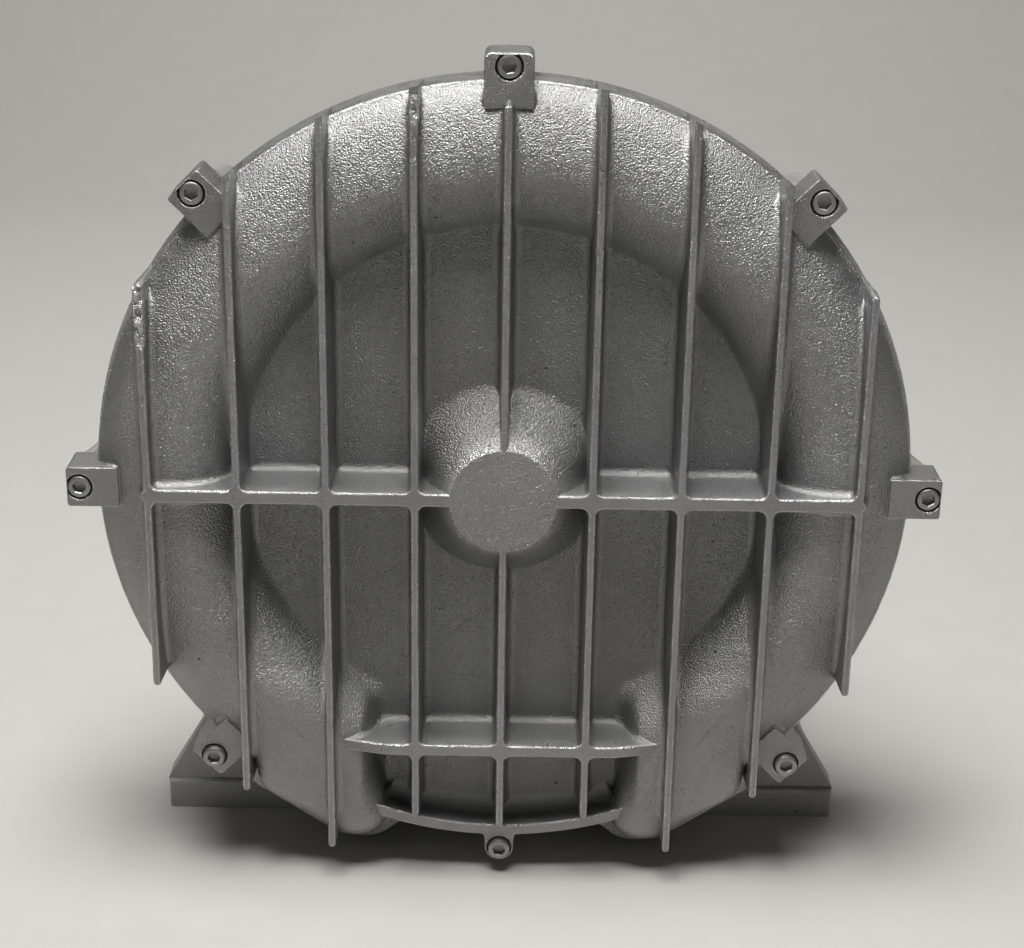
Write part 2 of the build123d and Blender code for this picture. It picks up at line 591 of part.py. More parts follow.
def impeller_housing():
    """Rear half of the blower: chamber, rear side channel, ducts, motor flange and bearing boss."""
    outer_r = CHANNEL_INNER_R + HOUSING_WALL
    shell = ring(0, FLANGE_R, PARTING_Y, CHAMBER_REAR_Y)
    shell = joined(shell, [ring(0, HOUSING_RIM_R, PARTING_Y, PARTING_Y + 2 * HOUSING_WALL),
                           ring(0, CHANNEL_CENTRE_R, CHAMBER_REAR_Y, BACK_WALL_Y),
                           side_channel(HOUSING_CHANNEL_Y, outer_r, PARTING_Y, HOUSING_CREST_Y)])
    boss = ring(0, BEARING_BOSS_R, CHAMBER_REAR_Y, DRIVE_BEARING_END_Y)
    motor_ring = ring(MOTOR_FLANGE_R - MOTOR_FLANGE_RING, MOTOR_FLANGE_R, CHAMBER_REAR_Y, MOTOR_FLANGE_Y)
    back_rib = block(MOTOR_FLANGE_R - EDGE_R, CHANNEL_CENTRE_R, BACK_WALL_Y - EDGE_R,
                     BACK_WALL_Y + 2 * HOUSING_WALL, -BACK_RIB_WIDTH / 2, BACK_RIB_WIDTH / 2)
    upper_ribs = [Rot(0, -a, 0) * back_rib for a in range(0, 360, 360 // BACK_RIB_COUNT) if not 225 < a < 315]
    duct = lobe(PARTING_Y, HOUSING_PORT_FACE_Y)
    plate = port_plate(-PORT_X, HOUSING_PORT_FACE_Y - PORT_SCREW_DEPTH, HOUSING_PORT_FACE_Y)
    bosses = [lug(angle, PARTING_Y, PARTING_Y + BOSS_DEPTH, BOSS_NOSE_R) for angle in SCREW_ANGLES + [270]]
    ducts = [duct, mirrored(duct), plate, mirrored(plate)]
    body = joined(shell, [boss, motor_ring, *upper_ribs, *ducts, *bosses])
    channel = side_channel(HOUSING_CHANNEL_Y, CHANNEL_INNER_R, CHAMBER_REAR_Y, HOUSING_CREST_Y)
    channel = channel - stripper_zone(LOBE_INNER_X + LOBE_OVERLAP, CHAMBER_REAR_Y, HOUSING_CREST_Y)
    passage = lobe(PARTING_Y, HOUSING_PORT_FACE_Y - PORT_SCREW_DEPTH, HOUSING_WALL)
    mouth = rod(-PORT_X, PORT_Z, DUCT_R, PARTING_Y, HOUSING_PORT_FACE_Y)
    cuts = [ring(0, CHAMBER_R, PARTING_Y, CHAMBER_REAR_Y), channel, passage, mirrored(passage), mouth,
            mirrored(mouth), ring(0, SEAL_R, CHAMBER_REAR_Y, DRIVE_BEARING_Y),
            ring(0, BEARING_OUTER_R, DRIVE_BEARING_Y, DRIVE_BEARING_END_Y)]
    cuts += [rod(x, z, SCREW_R, PARTING_Y, SCREW_GRIP) for x, z, _, _ in screw_places()]
    for side in (-1, 1):
        for x, z in corners(side * PORT_X, PORT_Z, PORT_SCREW_SPACING):
            cuts.append(rod(x, z, PORT_SCREW_R, HOUSING_PORT_FACE_Y - PORT_SCREW_DEPTH, HOUSING_PORT_FACE_Y))
    cuts += [rod(*polar(TIE_BOLT_CIRCLE_R, a), TIE_BOLT_R, MOTOR_FLANGE_Y - TIE_BOLT_DEPTH, MOTOR_FLANGE_Y)
             for a in TIE_ANGLES]
    thread_y = DRIVE_BEARING_END_Y - RETAINER_SCREW_DEPTH
    cuts += [rod(*polar(RETAINER_SCREW_CIRCLE_R, a), RETAINER_SCREW_R, thread_y, DRIVE_BEARING_END_Y)
             for a in RETAINER_ANGLES]
    return without(body, cuts)


# ---------------------------------------------------------------- rotating parts
def bucket(y0, y1):
    """Space between two neighbouring blades, from the bucket ring out through the rim."""
    half_step = math.radians(180 / BLADE_COUNT)
    side = []
    for radius in (BUCKET_ROOT_R, IMPELLER_R + BUCKET_RING):
        along, across = radius, BLADE_THICKNESS / 2
        side.append((along * math.cos(half_step) + across * math.sin(half_step),
                     along * math.sin(half_step) - across * math.cos(half_step)))
    (x_in, z_in), (x_out, z_out) = side
    wedge = Polyline((x_in, -z_in), (x_out, -z_out), (x_out, z_out), (x_in, z_in), close=True)
    return slab(make_face(wedge), y0, y1)


def impeller():
    """Side channel impeller: hub and lightened web, its rim cut into buckets on both faces."""
    mid_y = (IMPELLER_FRONT_Y + IMPELLER_REAR_Y) / 2
    floor = IMPELLER_MID_DISC / 2
    web = IMPELLER_WEB / 2
    root_r = BUCKET_ROOT_R - BUCKET_RING
    front, rear = mid_y - web, mid_y + web
    body = turned([(IMPELLER_SEAT_R, IMPELLER_HUB_Y), (IMPELLER_HUB_R, IMPELLER_HUB_Y),
                   (IMPELLER_HUB_R, front), (root_r, front), (root_r, IMPELLER_FRONT_Y),
                   (IMPELLER_R, IMPELLER_FRONT_Y), (IMPELLER_R, IMPELLER_REAR_Y),
                   (root_r, IMPELLER_REAR_Y), (root_r, rear), (IMPELLER_HUB_R, rear),
                   (IMPELLER_HUB_R, IMPELLER_REAR_Y), (IMPELLER_SEAT_R, IMPELLER_REAR_Y)])
    buckets = around(bucket(IMPELLER_FRONT_Y, mid_y - floor), BLADE_COUNT)
    buckets += around(bucket(mid_y + floor, IMPELLER_REAR_Y), BLADE_COUNT)
    holes = [rod(*polar(LIGHTENING_CIRCLE_R, 30 + i * 360 / LIGHTENING_COUNT), LIGHTENING_HOLE_R,
                 mid_y - web, mid_y + web) for i in range(LIGHTENING_COUNT)]
    return without(body, [impeller_key(), *holes, *buckets])


def impeller_key():
    """Parallel key between shaft and impeller."""
    top = IMPELLER_SEAT_R - KEY_DEPTH_IN_SHAFT + KEY_HEIGHT
    y0 = (SHAFT_FRONT_Y + IMPELLER_REAR_Y - KEY_LENGTH) / 2
    floor = IMPELLER_SEAT_R - KEY_DEPTH_IN_SHAFT
    return block(-KEY_WIDTH / 2, KEY_WIDTH / 2, y0, y0 + KEY_LENGTH, floor, top)


def shaft():
    """Stepped motor shaft from the impeller seat to the fan seat."""
    steps = [(IMPELLER_SEAT_R, SHAFT_FRONT_Y), (BEARING_SEAT_R, DRIVE_BEARING_Y),
             (SHOULDER_R, DRIVE_BEARING_END_Y),
             (ROTOR_SEAT_R, STACK_Y - END_RING_WIDTH), (SHOULDER_R, STACK_END_Y + END_RING_WIDTH),
             (BEARING_SEAT_R, REAR_BEARING_Y), (FAN_SEAT_R, FAN_Y), (0, FAN_END_Y + 2 * CLIP_WIDTH)]
    points = [(0, SHAFT_FRONT_Y)]
    for (radius, y), (_, next_y) in zip(steps, steps[1:]):
        points += [(radius, y), (radius, next_y)]
    points.append((0, steps[-1][1]))
    body = turned(points)
    groove = ring(FAN_SEAT_R - CLIP_WIDTH, FAN_SEAT_R, FAN_END_Y, FAN_END_Y + CLIP_WIDTH)
    tapped = rod(0, 0, CLAMP_BOLT_R, SHAFT_FRONT_Y, clamp_seat_y() + CLAMP_BOLT_LENGTH)
    return without(body, [groove, tapped, impeller_key()])


def clamp_seat_y():
    """Front face of the impeller's clamp washer, under the bolt's head."""
    return IMPELLER_HUB_Y - CLAMP_WASHER


def clamp_washer():
    """Thick washer that holds the impeller on the shaft."""
    return ring(CLAMP_BOLT_R, CLAMP_WASHER_R, clamp_seat_y(), clamp_seat_y() + CLAMP_WASHER)


def clamp_bolt():
    """M8 hexagon bolt in the shaft's end."""
    bolt = hex_screw(CLAMP_BOLT_R, CLAMP_BOLT_LENGTH, BOLT_HEAD_AF, BOLT_HEAD_HEIGHT)
    return Pos(0, clamp_seat_y(), 0) * bolt


def shaft_spacer():
    """Sleeve between impeller hub and drive end bearing; the seal runs on it."""
    return ring(IMPELLER_SEAT_R, SPACER_R, IMPELLER_REAR_Y, DRIVE_BEARING_Y)


def rotor_core():
    """Laminated rotor with its cast end rings."""
    core_r = STATOR_BORE_R - AIR_GAP
    core = ring(ROTOR_SEAT_R, core_r, STACK_Y, STACK_END_Y)
    front_ring = ring(ROTOR_SEAT_R + EDGE_R, core_r - EDGE_R, STACK_Y - END_RING_WIDTH, STACK_Y)
    rear_ring = ring(ROTOR_SEAT_R + EDGE_R, core_r - EDGE_R, STACK_END_Y, STACK_END_Y + END_RING_WIDTH)
    return joined(core, [front_ring, rear_ring])


def cooling_fan():
    """Radial-blade cooling fan, the same in both directions of rotation."""
    hub = ring(0, FAN_HUB_R, FAN_Y, FAN_END_Y)
    disc = ring(0, FAN_R, FAN_Y, FAN_Y + FAN_DISC)
    blade = block(FAN_HUB_R - EDGE_R, FAN_R - EDGE_R, FAN_Y, FAN_END_Y, -FAN_BLADE_THICKNESS / 2,
                  FAN_BLADE_THICKNESS / 2)
    body = joined(hub, [disc, *around(blade, FAN_BLADES)])
    return body - ring(0, FAN_SEAT_R, FAN_Y, FAN_END_Y)


def fan_clip():
    """Snap ring that keeps the fan on its seat."""
    clip = ring(FAN_SEAT_R - CLIP_WIDTH, FAN_SEAT_R + 3 * CLIP_WIDTH, FAN_END_Y, FAN_END_Y + CLIP_WIDTH)
    return clip - block(-2 * CLIP_WIDTH, 2 * CLIP_WIDTH, FAN_END_Y, FAN_END_Y + CLIP_WIDTH, 0, 2 * FAN_SEAT_R)


# ---------------------------------------------------------------- bearings and seal
def groove(y):
    """Raceway groove that the balls run in, for a bearing whose front face is at y."""
    section = make_face([CenterArc((BALL_CIRCLE_R, y + BEARING_WIDTH / 2), BALL_R + BALL_CLEARANCE, 0, 360)])
    return revolve(section, Axis.Y)


def bearing_inner_ring(y):
    """Inner ring on the shaft."""
    return ring(BEARING_BORE_R, BEARING_BORE_R + INNER_RING_WALL, y, y + BEARING_WIDTH) - groove(y)


def bearing_outer_ring(y):
    """Outer ring in its housing."""
    return ring(BEARING_OUTER_R - OUTER_RING_WALL, BEARING_OUTER_R, y, y + BEARING_WIDTH) - groove(y)


def bearing_balls(y):
    """The balls of one bearing as one group."""
    ball = Pos(BALL_CIRCLE_R, y + BEARING_WIDTH / 2, 0) * Sphere(BALL_R)
    return Compound(children=around(ball, BALL_COUNT))


def bearing_cage(y):
    """Cage ring with a drilled pocket round each ball."""
    mid = y + BEARING_WIDTH / 2
    pocket = Pos(BALL_CIRCLE_R, mid, 0) * Rot(0, 90, 0) * Cylinder(BALL_R + BALL_CLEARANCE, 2 * BALL_R)
    cage = ring(BALL_CIRCLE_R - CAGE_WALL / 2, BALL_CIRCLE_R + CAGE_WALL / 2, mid - CAGE_WIDTH / 2,
                mid + CAGE_WIDTH / 2)
    return without(cage, around(pocket, BALL_COUNT))


def shaft_seal():
    """Radial lip seal in front of the drive end bearing."""
    return ring(SPACER_R + SEAL_GAP, SEAL_R, DRIVE_BEARING_Y - SEAL_WIDTH, DRIVE_BEARING_Y)


def bearing_retainer():
    """Plate that keeps the drive end bearing in its boss."""
    rear_y = DRIVE_BEARING_END_Y + RETAINER_THICKNESS
    plate = ring(SHOULDER_R + CLAMP_GAP, RETAINER_R, DRIVE_BEARING_END_Y, rear_y)
    holes = [rod(*polar(RETAINER_SCREW_CIRCLE_R, a), RETAINER_SCREW_R, DRIVE_BEARING_END_Y,
                 DRIVE_BEARING_END_Y + RETAINER_THICKNESS) for a in RETAINER_ANGLES]
    return without(plate, holes)


def rear_screw(radius, grip, across_flats, head):
    """Hexagon screw whose head faces the motor's fan end, its underside at y = 0."""
    return mirror(hex_screw(radius, grip, across_flats, head), Plane.XZ)


def retainer_screws():
    """Three M5 screws in the bearing retainer."""
    seat = DRIVE_BEARING_END_Y + RETAINER_THICKNESS
    grip = RETAINER_THICKNESS + RETAINER_SCREW_DEPTH
    screw = rear_screw(RETAINER_SCREW_R, grip, RETAINER_SCREW_AF, RETAINER_SCREW_HEAD)
    places = [polar(RETAINER_SCREW_CIRCLE_R, angle) for angle in RETAINER_ANGLES]
    return Compound(children=[Pos(x, seat, z) * screw for x, z in places])


# ---------------------------------------------------------------- motor
def motor_frame():
    """Finned motor frame with the seat for the terminal box."""
    tube = ring(0, FRAME_BORE_R + FRAME_WALL, MOTOR_FLANGE_Y, FRAME_END_Y)
    fin = block(FRAME_BORE_R, FIN_TIP_R, MOTOR_FLANGE_Y, FRAME_END_Y, -FIN_THICKNESS / 2, FIN_THICKNESS / 2)
    fins = around(fin, FIN_COUNT, TIE_ANGLES[0] - 180 / FIN_COUNT)
    screw_boss = block(FRAME_BORE_R, FIN_TIP_R, FRAME_END_Y - COWL_OVERLAP, FRAME_END_Y,
                       -COWL_BOSS_WIDTH / 2, COWL_BOSS_WIDTH / 2)
    fins += [Rot(0, -a, 0) * screw_boss for a in COWL_ANGLES]
    pad = block(-PAD_HALF_WIDTH, PAD_HALF_WIDTH, BOX_FRONT_Y + BOX_WALL, BOX_FRONT_Y + BOX_LENGTH - BOX_WALL,
                FRAME_BORE_R / 2, PAD_TOP_Z)
    window = block(-CABLE_WINDOW[0] / 2, CABLE_WINDOW[0] / 2, BOX_FRONT_Y + 2 * BOX_WALL,
                   STACK_Y - CLAMP_GAP, 0, PAD_TOP_Z)
    cuts = [ring(0, FRAME_BORE_R, MOTOR_FLANGE_Y, FRAME_END_Y), window]
    cuts += [cowl_screw_axis(a, COWL_SCREW_R, FIN_TIP_R - COWL_SCREW_DEPTH, FIN_TIP_R) for a in COWL_ANGLES]
    for x, y in box_screw_places():
        cuts.append(Pos(x, y, PAD_TOP_Z - BOX_SCREW_DEPTH / 2) * Cylinder(BOX_SCREW_R, BOX_SCREW_DEPTH))
    return without(joined(tube, [*fins, pad]), cuts)


def stator_core():
    """Laminated stator core pressed in the frame."""
    return ring(STATOR_BORE_R, FRAME_BORE_R, STACK_Y, STACK_END_Y)


def stator_windings():
    """End turns of the winding at both ends of the core."""
    front_end = ring(WINDING_INNER_R, WINDING_OUTER_R, STACK_Y - WINDING_OVERHANG, STACK_Y)
    rear_end = ring(WINDING_INNER_R, WINDING_OUTER_R, STACK_END_Y, STACK_END_Y + WINDING_OVERHANG)
    rounded = [fillet(end.edges().filter_by(GeomType.CIRCLE), WINDING_EDGE_R)
               for end in (front_end, rear_end)]
    return Compound(children=rounded)


def end_shield():
    """Bearing shield at the fan end."""
    plate = ring(0, FRAME_BORE_R + FRAME_WALL, FRAME_END_Y, SHIELD_END_Y)
    spigot = ring(FRAME_BORE_R - SPIGOT_WALL, FRAME_BORE_R, FRAME_END_Y - SPIGOT_DEPTH, FRAME_END_Y)
    boss = ring(0, BEARING_OUTER_R + SHIELD_BOSS_WALL, REAR_BEARING_Y - SPRING_THICKNESS, SHIELD_END_Y)
    ears = [slab(Rot(0, 0, a) * Pos(TIE_BOLT_CIRCLE_R - 2 * TIE_BOLT_HEAD_R + EDGE_R, 0) * SlotCenterToCenter(
        4 * TIE_BOLT_HEAD_R - 2 * EDGE_R, 2 * TIE_BOLT_HEAD_R + 2 * EDGE_R), FRAME_END_Y, SHIELD_END_Y)
        for a in TIE_ANGLES]
    body = joined(plate, [spigot, boss, *ears])
    seat = ring(0, BEARING_OUTER_R, REAR_BEARING_Y - SPRING_THICKNESS, REAR_BEARING_END_Y)
    passage = ring(0, BEARING_SEAT_R + CLAMP_GAP, REAR_BEARING_END_Y, SHIELD_END_Y)
    holes = [rod(*polar(TIE_BOLT_CIRCLE_R, a), TIE_BOLT_HOLE_R, FRAME_END_Y, SHIELD_END_Y)
             for a in TIE_ANGLES]
    return without(body, [seat, passage, *holes])


def preload_spring():
    """Spring washer that preloads the fan end bearing."""
    inner = BEARING_OUTER_R - OUTER_RING_WALL
    return ring(inner, BEARING_OUTER_R - SEAL_GAP, REAR_BEARING_Y - SPRING_THICKNESS, REAR_BEARING_Y)


def tie_bolts():
    """Four long bolts that clamp shield and frame to the impeller housing."""
    grip = SHIELD_END_Y - MOTOR_FLANGE_Y + TIE_BOLT_DEPTH
    bolt = rear_screw(TIE_BOLT_R, grip, 2 * TIE_BOLT_HEAD_R, TIE_BOLT_HEAD)
    places = [polar(TIE_BOLT_CIRCLE_R, angle) for angle in TIE_ANGLES]
    return Compound(children=[Pos(x, SHIELD_END_Y, z) * bolt for x, z in places])


def fan_cowl():
    """Sheet steel fan cowl with a slotted air grille."""
    outer_r = COWL_BORE_R + COWL_SHEET
    start = FRAME_END_Y - COWL_OVERLAP
    shell = fillet(ring(0, outer_r, start, COWL_END_Y).edges().sort_by(Axis.Y)[-1], COWL_CORNER_R)
    inner = fillet(ring(0, COWL_BORE_R, start, COWL_END_Y - COWL_SHEET).edges().sort_by(Axis.Y)[-1],
                   COWL_CORNER_R - COWL_SHEET)
    cuts = [inner]
    for row_r, count in zip(GRILLE_RADII, GRILLE_SLOT_COUNTS):
        face = Pos(row_r, 0) * Rectangle(GRILLE_SLOT_LENGTH, GRILLE_SLOT_WIDTH)
        cuts += around(slab(face, COWL_END_Y - 2 * COWL_SHEET, COWL_END_Y), count)
    cuts += [cowl_screw_axis(a, COWL_SCREW_R, FIN_TIP_R, outer_r + COWL_SHEET) for a in COWL_ANGLES]
    return without(shell, cuts)


def cowl_screw_axis(angle, radius, r0, r1):
    """Radial cylinder at the cowl's screw ring between two radii."""
    y = FRAME_END_Y - COWL_OVERLAP / 2
    pin = Pos((r0 + r1) / 2, y, 0) * Rot(0, 90, 0) * Cylinder(radius, r1 - r0)
    return Rot(0, -angle, 0) * pin


def cowl_screws():
    """Four pan head screws through the cowl into thickened fins."""
    outer_r = COWL_BORE_R + COWL_SHEET
    screws = []
    for angle in COWL_ANGLES:
        shank = cowl_screw_axis(angle, COWL_SCREW_R, FIN_TIP_R - COWL_SCREW_DEPTH, outer_r)
        head = cowl_screw_axis(angle, 2 * COWL_SCREW_R, outer_r, outer_r + COWL_SCREW_R)
        screws.append(shank + head)
    return Compound(children=screws)


# ---------------------------------------------------------------- terminal box
def box_outline(inset=0.0):
    """(x, y) outline of the terminal box."""
    return Pos(0, BOX_MID_Y) * RectangleRounded(2 * (BOX_HALF_WIDTH - inset), BOX_LENGTH - 2 * inset,
                                                BOX_CORNER_R - inset / 2)


def upright(sketch, z0, z1):
    """Extrude an (x, y) sketch between two heights."""
    return extrude(Pos(0, 0, z0) * sketch, z1 - z0)


def post(x, y, radius, z0, z1):
    """Round upright rod."""
    return upright(Pos(x, y) * Circle(radius), z0, z1)


def box_screw_places():
    """(x, y) of the screws that hold the box on the frame."""
    return corners(0, BOX_MID_Y, BOX_SCREW_SPACING)


def lid_screw_places():
    """(x, y) of the lid's screws, inside the box's corners."""
    return corners(0, BOX_MID_Y, (2 * (BOX_HALF_WIDTH - LID_SCREW_INSET), BOX_LENGTH - 2 * LID_SCREW_INSET))


def cable_window(z0, z1):
    """Opening for the winding's leads through pad, gasket and box floor."""
    half, front_y = CABLE_WINDOW[0] / 2, BOX_FRONT_Y + 2 * BOX_WALL
    return block(-half, half, front_y, STACK_Y - CLAMP_GAP, z0, z1)


def entry(side, radius, x0, x1):
    """Cable entry axis in a side wall of the box, side -1 or 1."""
    mid_x = side * (x0 + x1) / 2
    return Pos(mid_x, BOX_MID_Y, entry_z()) * Rot(0, 90, 0) * Cylinder(radius, x1 - x0)


def entry_z():
    """Height of the cable entries."""
    return BOX_FLOOR_Z + (BOX_BASE_HEIGHT + BOX_WALL) / 2


def box_gasket():
    """Flat gasket between frame and terminal box."""
    face = Pos(0, BOX_MID_Y) * Rectangle(2 * PAD_HALF_WIDTH, BOX_LENGTH - 2 * BOX_WALL)
    sheet = upright(face, PAD_TOP_Z, BOX_FLOOR_Z)
    holes = [post(x, y, BOX_SCREW_R, PAD_TOP_Z, BOX_FLOOR_Z) for x, y in box_screw_places()]
    return without(sheet, [cable_window(PAD_TOP_Z, BOX_FLOOR_Z), *holes])


def terminal_box():
    """Cast terminal box base, open upwards, with an entry in each side."""
    body = upright(box_outline(), BOX_FLOOR_Z, BOX_RIM_Z)
    body -= upright(box_outline(BOX_WALL), BOX_FLOOR_Z + BOX_WALL, BOX_RIM_Z)
    pillars = [post(x, y, LID_PILLAR_R, BOX_FLOOR_Z, BOX_RIM_Z) for x, y in lid_screw_places()]
    cuts = [cable_window(BOX_FLOOR_Z, BOX_FLOOR_Z + BOX_WALL)]
    cuts += [post(x, y, BOX_SCREW_R, BOX_FLOOR_Z, BOX_FLOOR_Z + BOX_WALL) for x, y in box_screw_places()]
    cuts += [post(x, y, LID_SCREW_R, BOX_RIM_Z - LID_SCREW_DEPTH, BOX_RIM_Z) for x, y in lid_screw_places()]
    wall_x = BOX_HALF_WIDTH - BOX_WALL
    cuts.append(entry(1, GLAND_THREAD_R, wall_x, BOX_HALF_WIDTH))
    cuts.append(entry(-1, PLUG_THREAD_R, wall_x, BOX_HALF_WIDTH))
    return without(joined(body, pillars), cuts)


def box_screws():
    """Four M5 screws from the box floor into the frame's pad."""
    seat = BOX_FLOOR_Z + BOX_WALL
    grip = seat - PAD_TOP_Z + BOX_SCREW_DEPTH
    head = RegularPolygon(BOX_SCREW_AF / math.sqrt(3), 6)
    return Compound(children=[upright(Pos(x, y) * head, seat, seat + BOX_SCREW_HEAD) + post(
        x, y, BOX_SCREW_R, seat - grip, seat) for x, y in box_screw_places()])


def lid_gasket():
    """Gasket ring under the lid."""
    sheet = upright(box_outline() - box_outline(BOX_WALL), BOX_RIM_Z, LID_Z)
    tabs = [post(x, y, LID_PILLAR_R, BOX_RIM_Z, LID_Z) for x, y in lid_screw_places()]
    holes = [post(x, y, LID_SCREW_R, BOX_RIM_Z, LID_Z) for x, y in lid_screw_places()]
    return without(joined(sheet, tabs), holes)


def terminal_lid():
    """Dished lid of the terminal box."""
    body = upright(box_outline(), LID_Z, LID_Z + LID_HEIGHT)
    body = fillet(body.faces().sort_by(Axis.Z)[-1].edges(), LID_EDGE_R)
    pillars = [post(x, y, LID_PILLAR_R, LID_Z, LID_Z + LID_HEIGHT - BOX_WALL) for x, y in lid_screw_places()]
    dish = upright(box_outline(BOX_WALL), LID_Z, LID_Z + LID_HEIGHT - BOX_WALL)
    body -= without(dish, pillars)
    holes = [post(x, y, LID_SCREW_R, LID_Z, LID_Z + LID_HEIGHT) for x, y in lid_screw_places()]
    seats = [post(x, y, LID_SCREW_HEAD_R + EDGE_R / 2, lid_seat_z(), LID_Z + LID_HEIGHT)
             for x, y in lid_screw_places()]
    return without(body, holes + seats)


def lid_seat_z():
    """Height of the seats that the lid screws' heads bear on."""
    return LID_Z + LID_HEIGHT - BOX_WALL


def lid_screws():
    """Four M4 screws with cylindrical heads."""
    bottom = BOX_RIM_Z - LID_SCREW_DEPTH + CLAMP_GAP
    return Compound(children=[post(x, y, LID_SCREW_R, bottom, lid_seat_z()) + post(
        x, y, LID_SCREW_HEAD_R, lid_seat_z(), lid_seat_z() + LID_SCREW_HEAD) for x, y in lid_screw_places()])


def gland_body():
    """Cable gland body screwed into the box wall."""
    face_x = BOX_HALF_WIDTH
    thread = entry(1, GLAND_THREAD_R, face_x - BOX_WALL - GLAND_BODY_LENGTH / 2, face_x)
    hexagon = Pos(face_x, BOX_MID_Y, entry_z()) * Rot(0, 90, 0) * extrude(
        RegularPolygon(GLAND_AF / math.sqrt(3), 6), GLAND_BODY_LENGTH / 2)
    neck = entry(1, GLAND_THREAD_R, face_x + GLAND_BODY_LENGTH / 2, face_x + GLAND_BODY_LENGTH)
    reach = 2 * GLAND_BODY_LENGTH
    bore = entry(1, GLAND_THREAD_R - GLAND_WALL, face_x - reach, face_x + reach)
    return thread + hexagon + neck - bore


def gland_nut():
    """Domed clamping nut of the cable gland."""
    start = BOX_HALF_WIDTH + GLAND_BODY_LENGTH / 2
    blank = Pos(start, BOX_MID_Y, entry_z()) * Rot(0, 90, 0) * extrude(
        RegularPolygon(GLAND_AF / math.sqrt(3) - EDGE_R, 6), GLAND_NUT_LENGTH)
    dome = fillet(entry(1, GLAND_AF / 2 + EDGE_R, start - GLAND_NUT_LENGTH, start + GLAND_NUT_LENGTH).edges()
                  .filter_by(GeomType.CIRCLE).sort_by(Axis.X)[-1], GLAND_DOME_R)
    body = blank & dome
    seat = entry(1, GLAND_THREAD_R, start, start + GLAND_BODY_LENGTH / 2)
    seal_seat = entry(1, GLAND_THREAD_R - GLAND_WALL, start, start + GLAND_NUT_LENGTH - GLAND_WALL)
    mouth = entry(1, GLAND_CABLE_R + GLAND_WALL, start, start + GLAND_NUT_LENGTH)
    return without(body, [seat, seal_seat, mouth])


def gland_seal():
    """Rubber sealing ring inside the gland; the cable passes through it."""
    start = BOX_HALF_WIDTH
    end = BOX_HALF_WIDTH + GLAND_BODY_LENGTH / 2 + GLAND_NUT_LENGTH - GLAND_WALL
    return entry(1, GLAND_THREAD_R - GLAND_WALL, start, end) - entry(1, GLAND_CABLE_R, start, end)


def blanking_plug():
    """Plug in the unused cable entry."""
    thread = entry(-1, PLUG_THREAD_R, BOX_HALF_WIDTH - BOX_WALL, BOX_HALF_WIDTH)
    head = entry(-1, PLUG_THREAD_R + PLUG_RIM, BOX_HALF_WIDTH, BOX_HALF_WIDTH + BOX_WALL)
    return thread + head


def terminal_board():
    """Moulded terminal board on the box floor."""
    size_x, size_y, size_z = BOARD_SIZE
    z = BOX_FLOOR_Z + BOX_WALL
    body = upright(Pos(0, board_y()) * RectangleRounded(size_x, size_y, LID_EDGE_R), z, z + size_z)
    return without(body, [post(x, y, STUD_R, z, z + size_z) for x, y in stud_places()])


def board_y():
    """Middle of the terminal board, behind the cable window."""
    return STACK_Y + BOARD_SIZE[1] / 2 + BOX_WALL


def stud_places():
    """(x, y) of the six terminal studs."""
    return [(i * STUD_PITCH, board_y() + j * STUD_ROW_GAP / 2) for j in (-1, 1) for i in (-1, 0, 1)]


def terminal_studs():
    """Six M5 brass studs, each with its nut."""
    z = BOX_FLOOR_Z + BOX_WALL
    top = z + BOARD_SIZE[2]
    nut = RegularPolygon(BOX_SCREW_AF / math.sqrt(3), 6)
    seat = top + LINK_THICKNESS
    studs = [post(x, y, STUD_R, z, top + STUD_HEIGHT)
             + upright(Pos(x, y) * nut, seat, seat + BOX_SCREW_HEAD) for x, y in stud_places()]
    return Compound(children=studs)


def terminal_links():
    """Three brass links that join the studs in delta."""
    z = BOX_FLOOR_Z + BOX_WALL + BOARD_SIZE[2]
    links = []
    for i in (-1, 0, 1):
        x = i * STUD_PITCH
        strip = upright(Pos(x, board_y()) * Rot(0, 0, 90) * SlotCenterToCenter(STUD_ROW_GAP, LINK_WIDTH), z,
                        z + LINK_THICKNESS)
        holes = [post(x, board_y() + j * STUD_ROW_GAP / 2, STUD_R, z, z + LINK_THICKNESS) for j in (-1, 1)]
        links.append(without(strip, holes))
    return Compound(children=links)


# ---------------------------------------------------------------- silencers and ports
def foot():
    """Left mounting foot: a flat plate, waisted towards the motor, with two bolt holes."""
    waist_y = FOOT_FRONT_Y + (FOOT_REAR_Y - FOOT_FRONT_Y) / 3
    edge = [(-FOOT_INNER_X, FOOT_FRONT_Y), (-FOOT_HALF_WIDTH, FOOT_FRONT_Y),
            (-FOOT_WAIST_HALF_WIDTH, waist_y), (-FOOT_WAIST_HALF_WIDTH, FOOT_REAR_Y),
            (-PORT_X, FOOT_REAR_Y), (-PORT_X, SILENCER_Y), (-FOOT_INNER_X, SILENCER_Y)]
    plate = upright(make_face(Polyline(*edge, close=True)), -SHAFT_HEIGHT, FOOT_TOP_Z)
    front = plate.edges().group_by(Axis.Y)[0]
    plate = fillet([front.sort_by(Axis.Z)[-1], front.sort_by(Axis.X)[0]], FOOT_NOSE_R)
    holes = [post(x, y, FOOT_HOLE_R, -SHAFT_HEIGHT, FOOT_TOP_Z)
             for x, y in corners(0, FOOT_CENTRE_Y, (FOOT_SPACING_X, FOOT_SPACING_Y)) if x < 0]
    return plate, holes


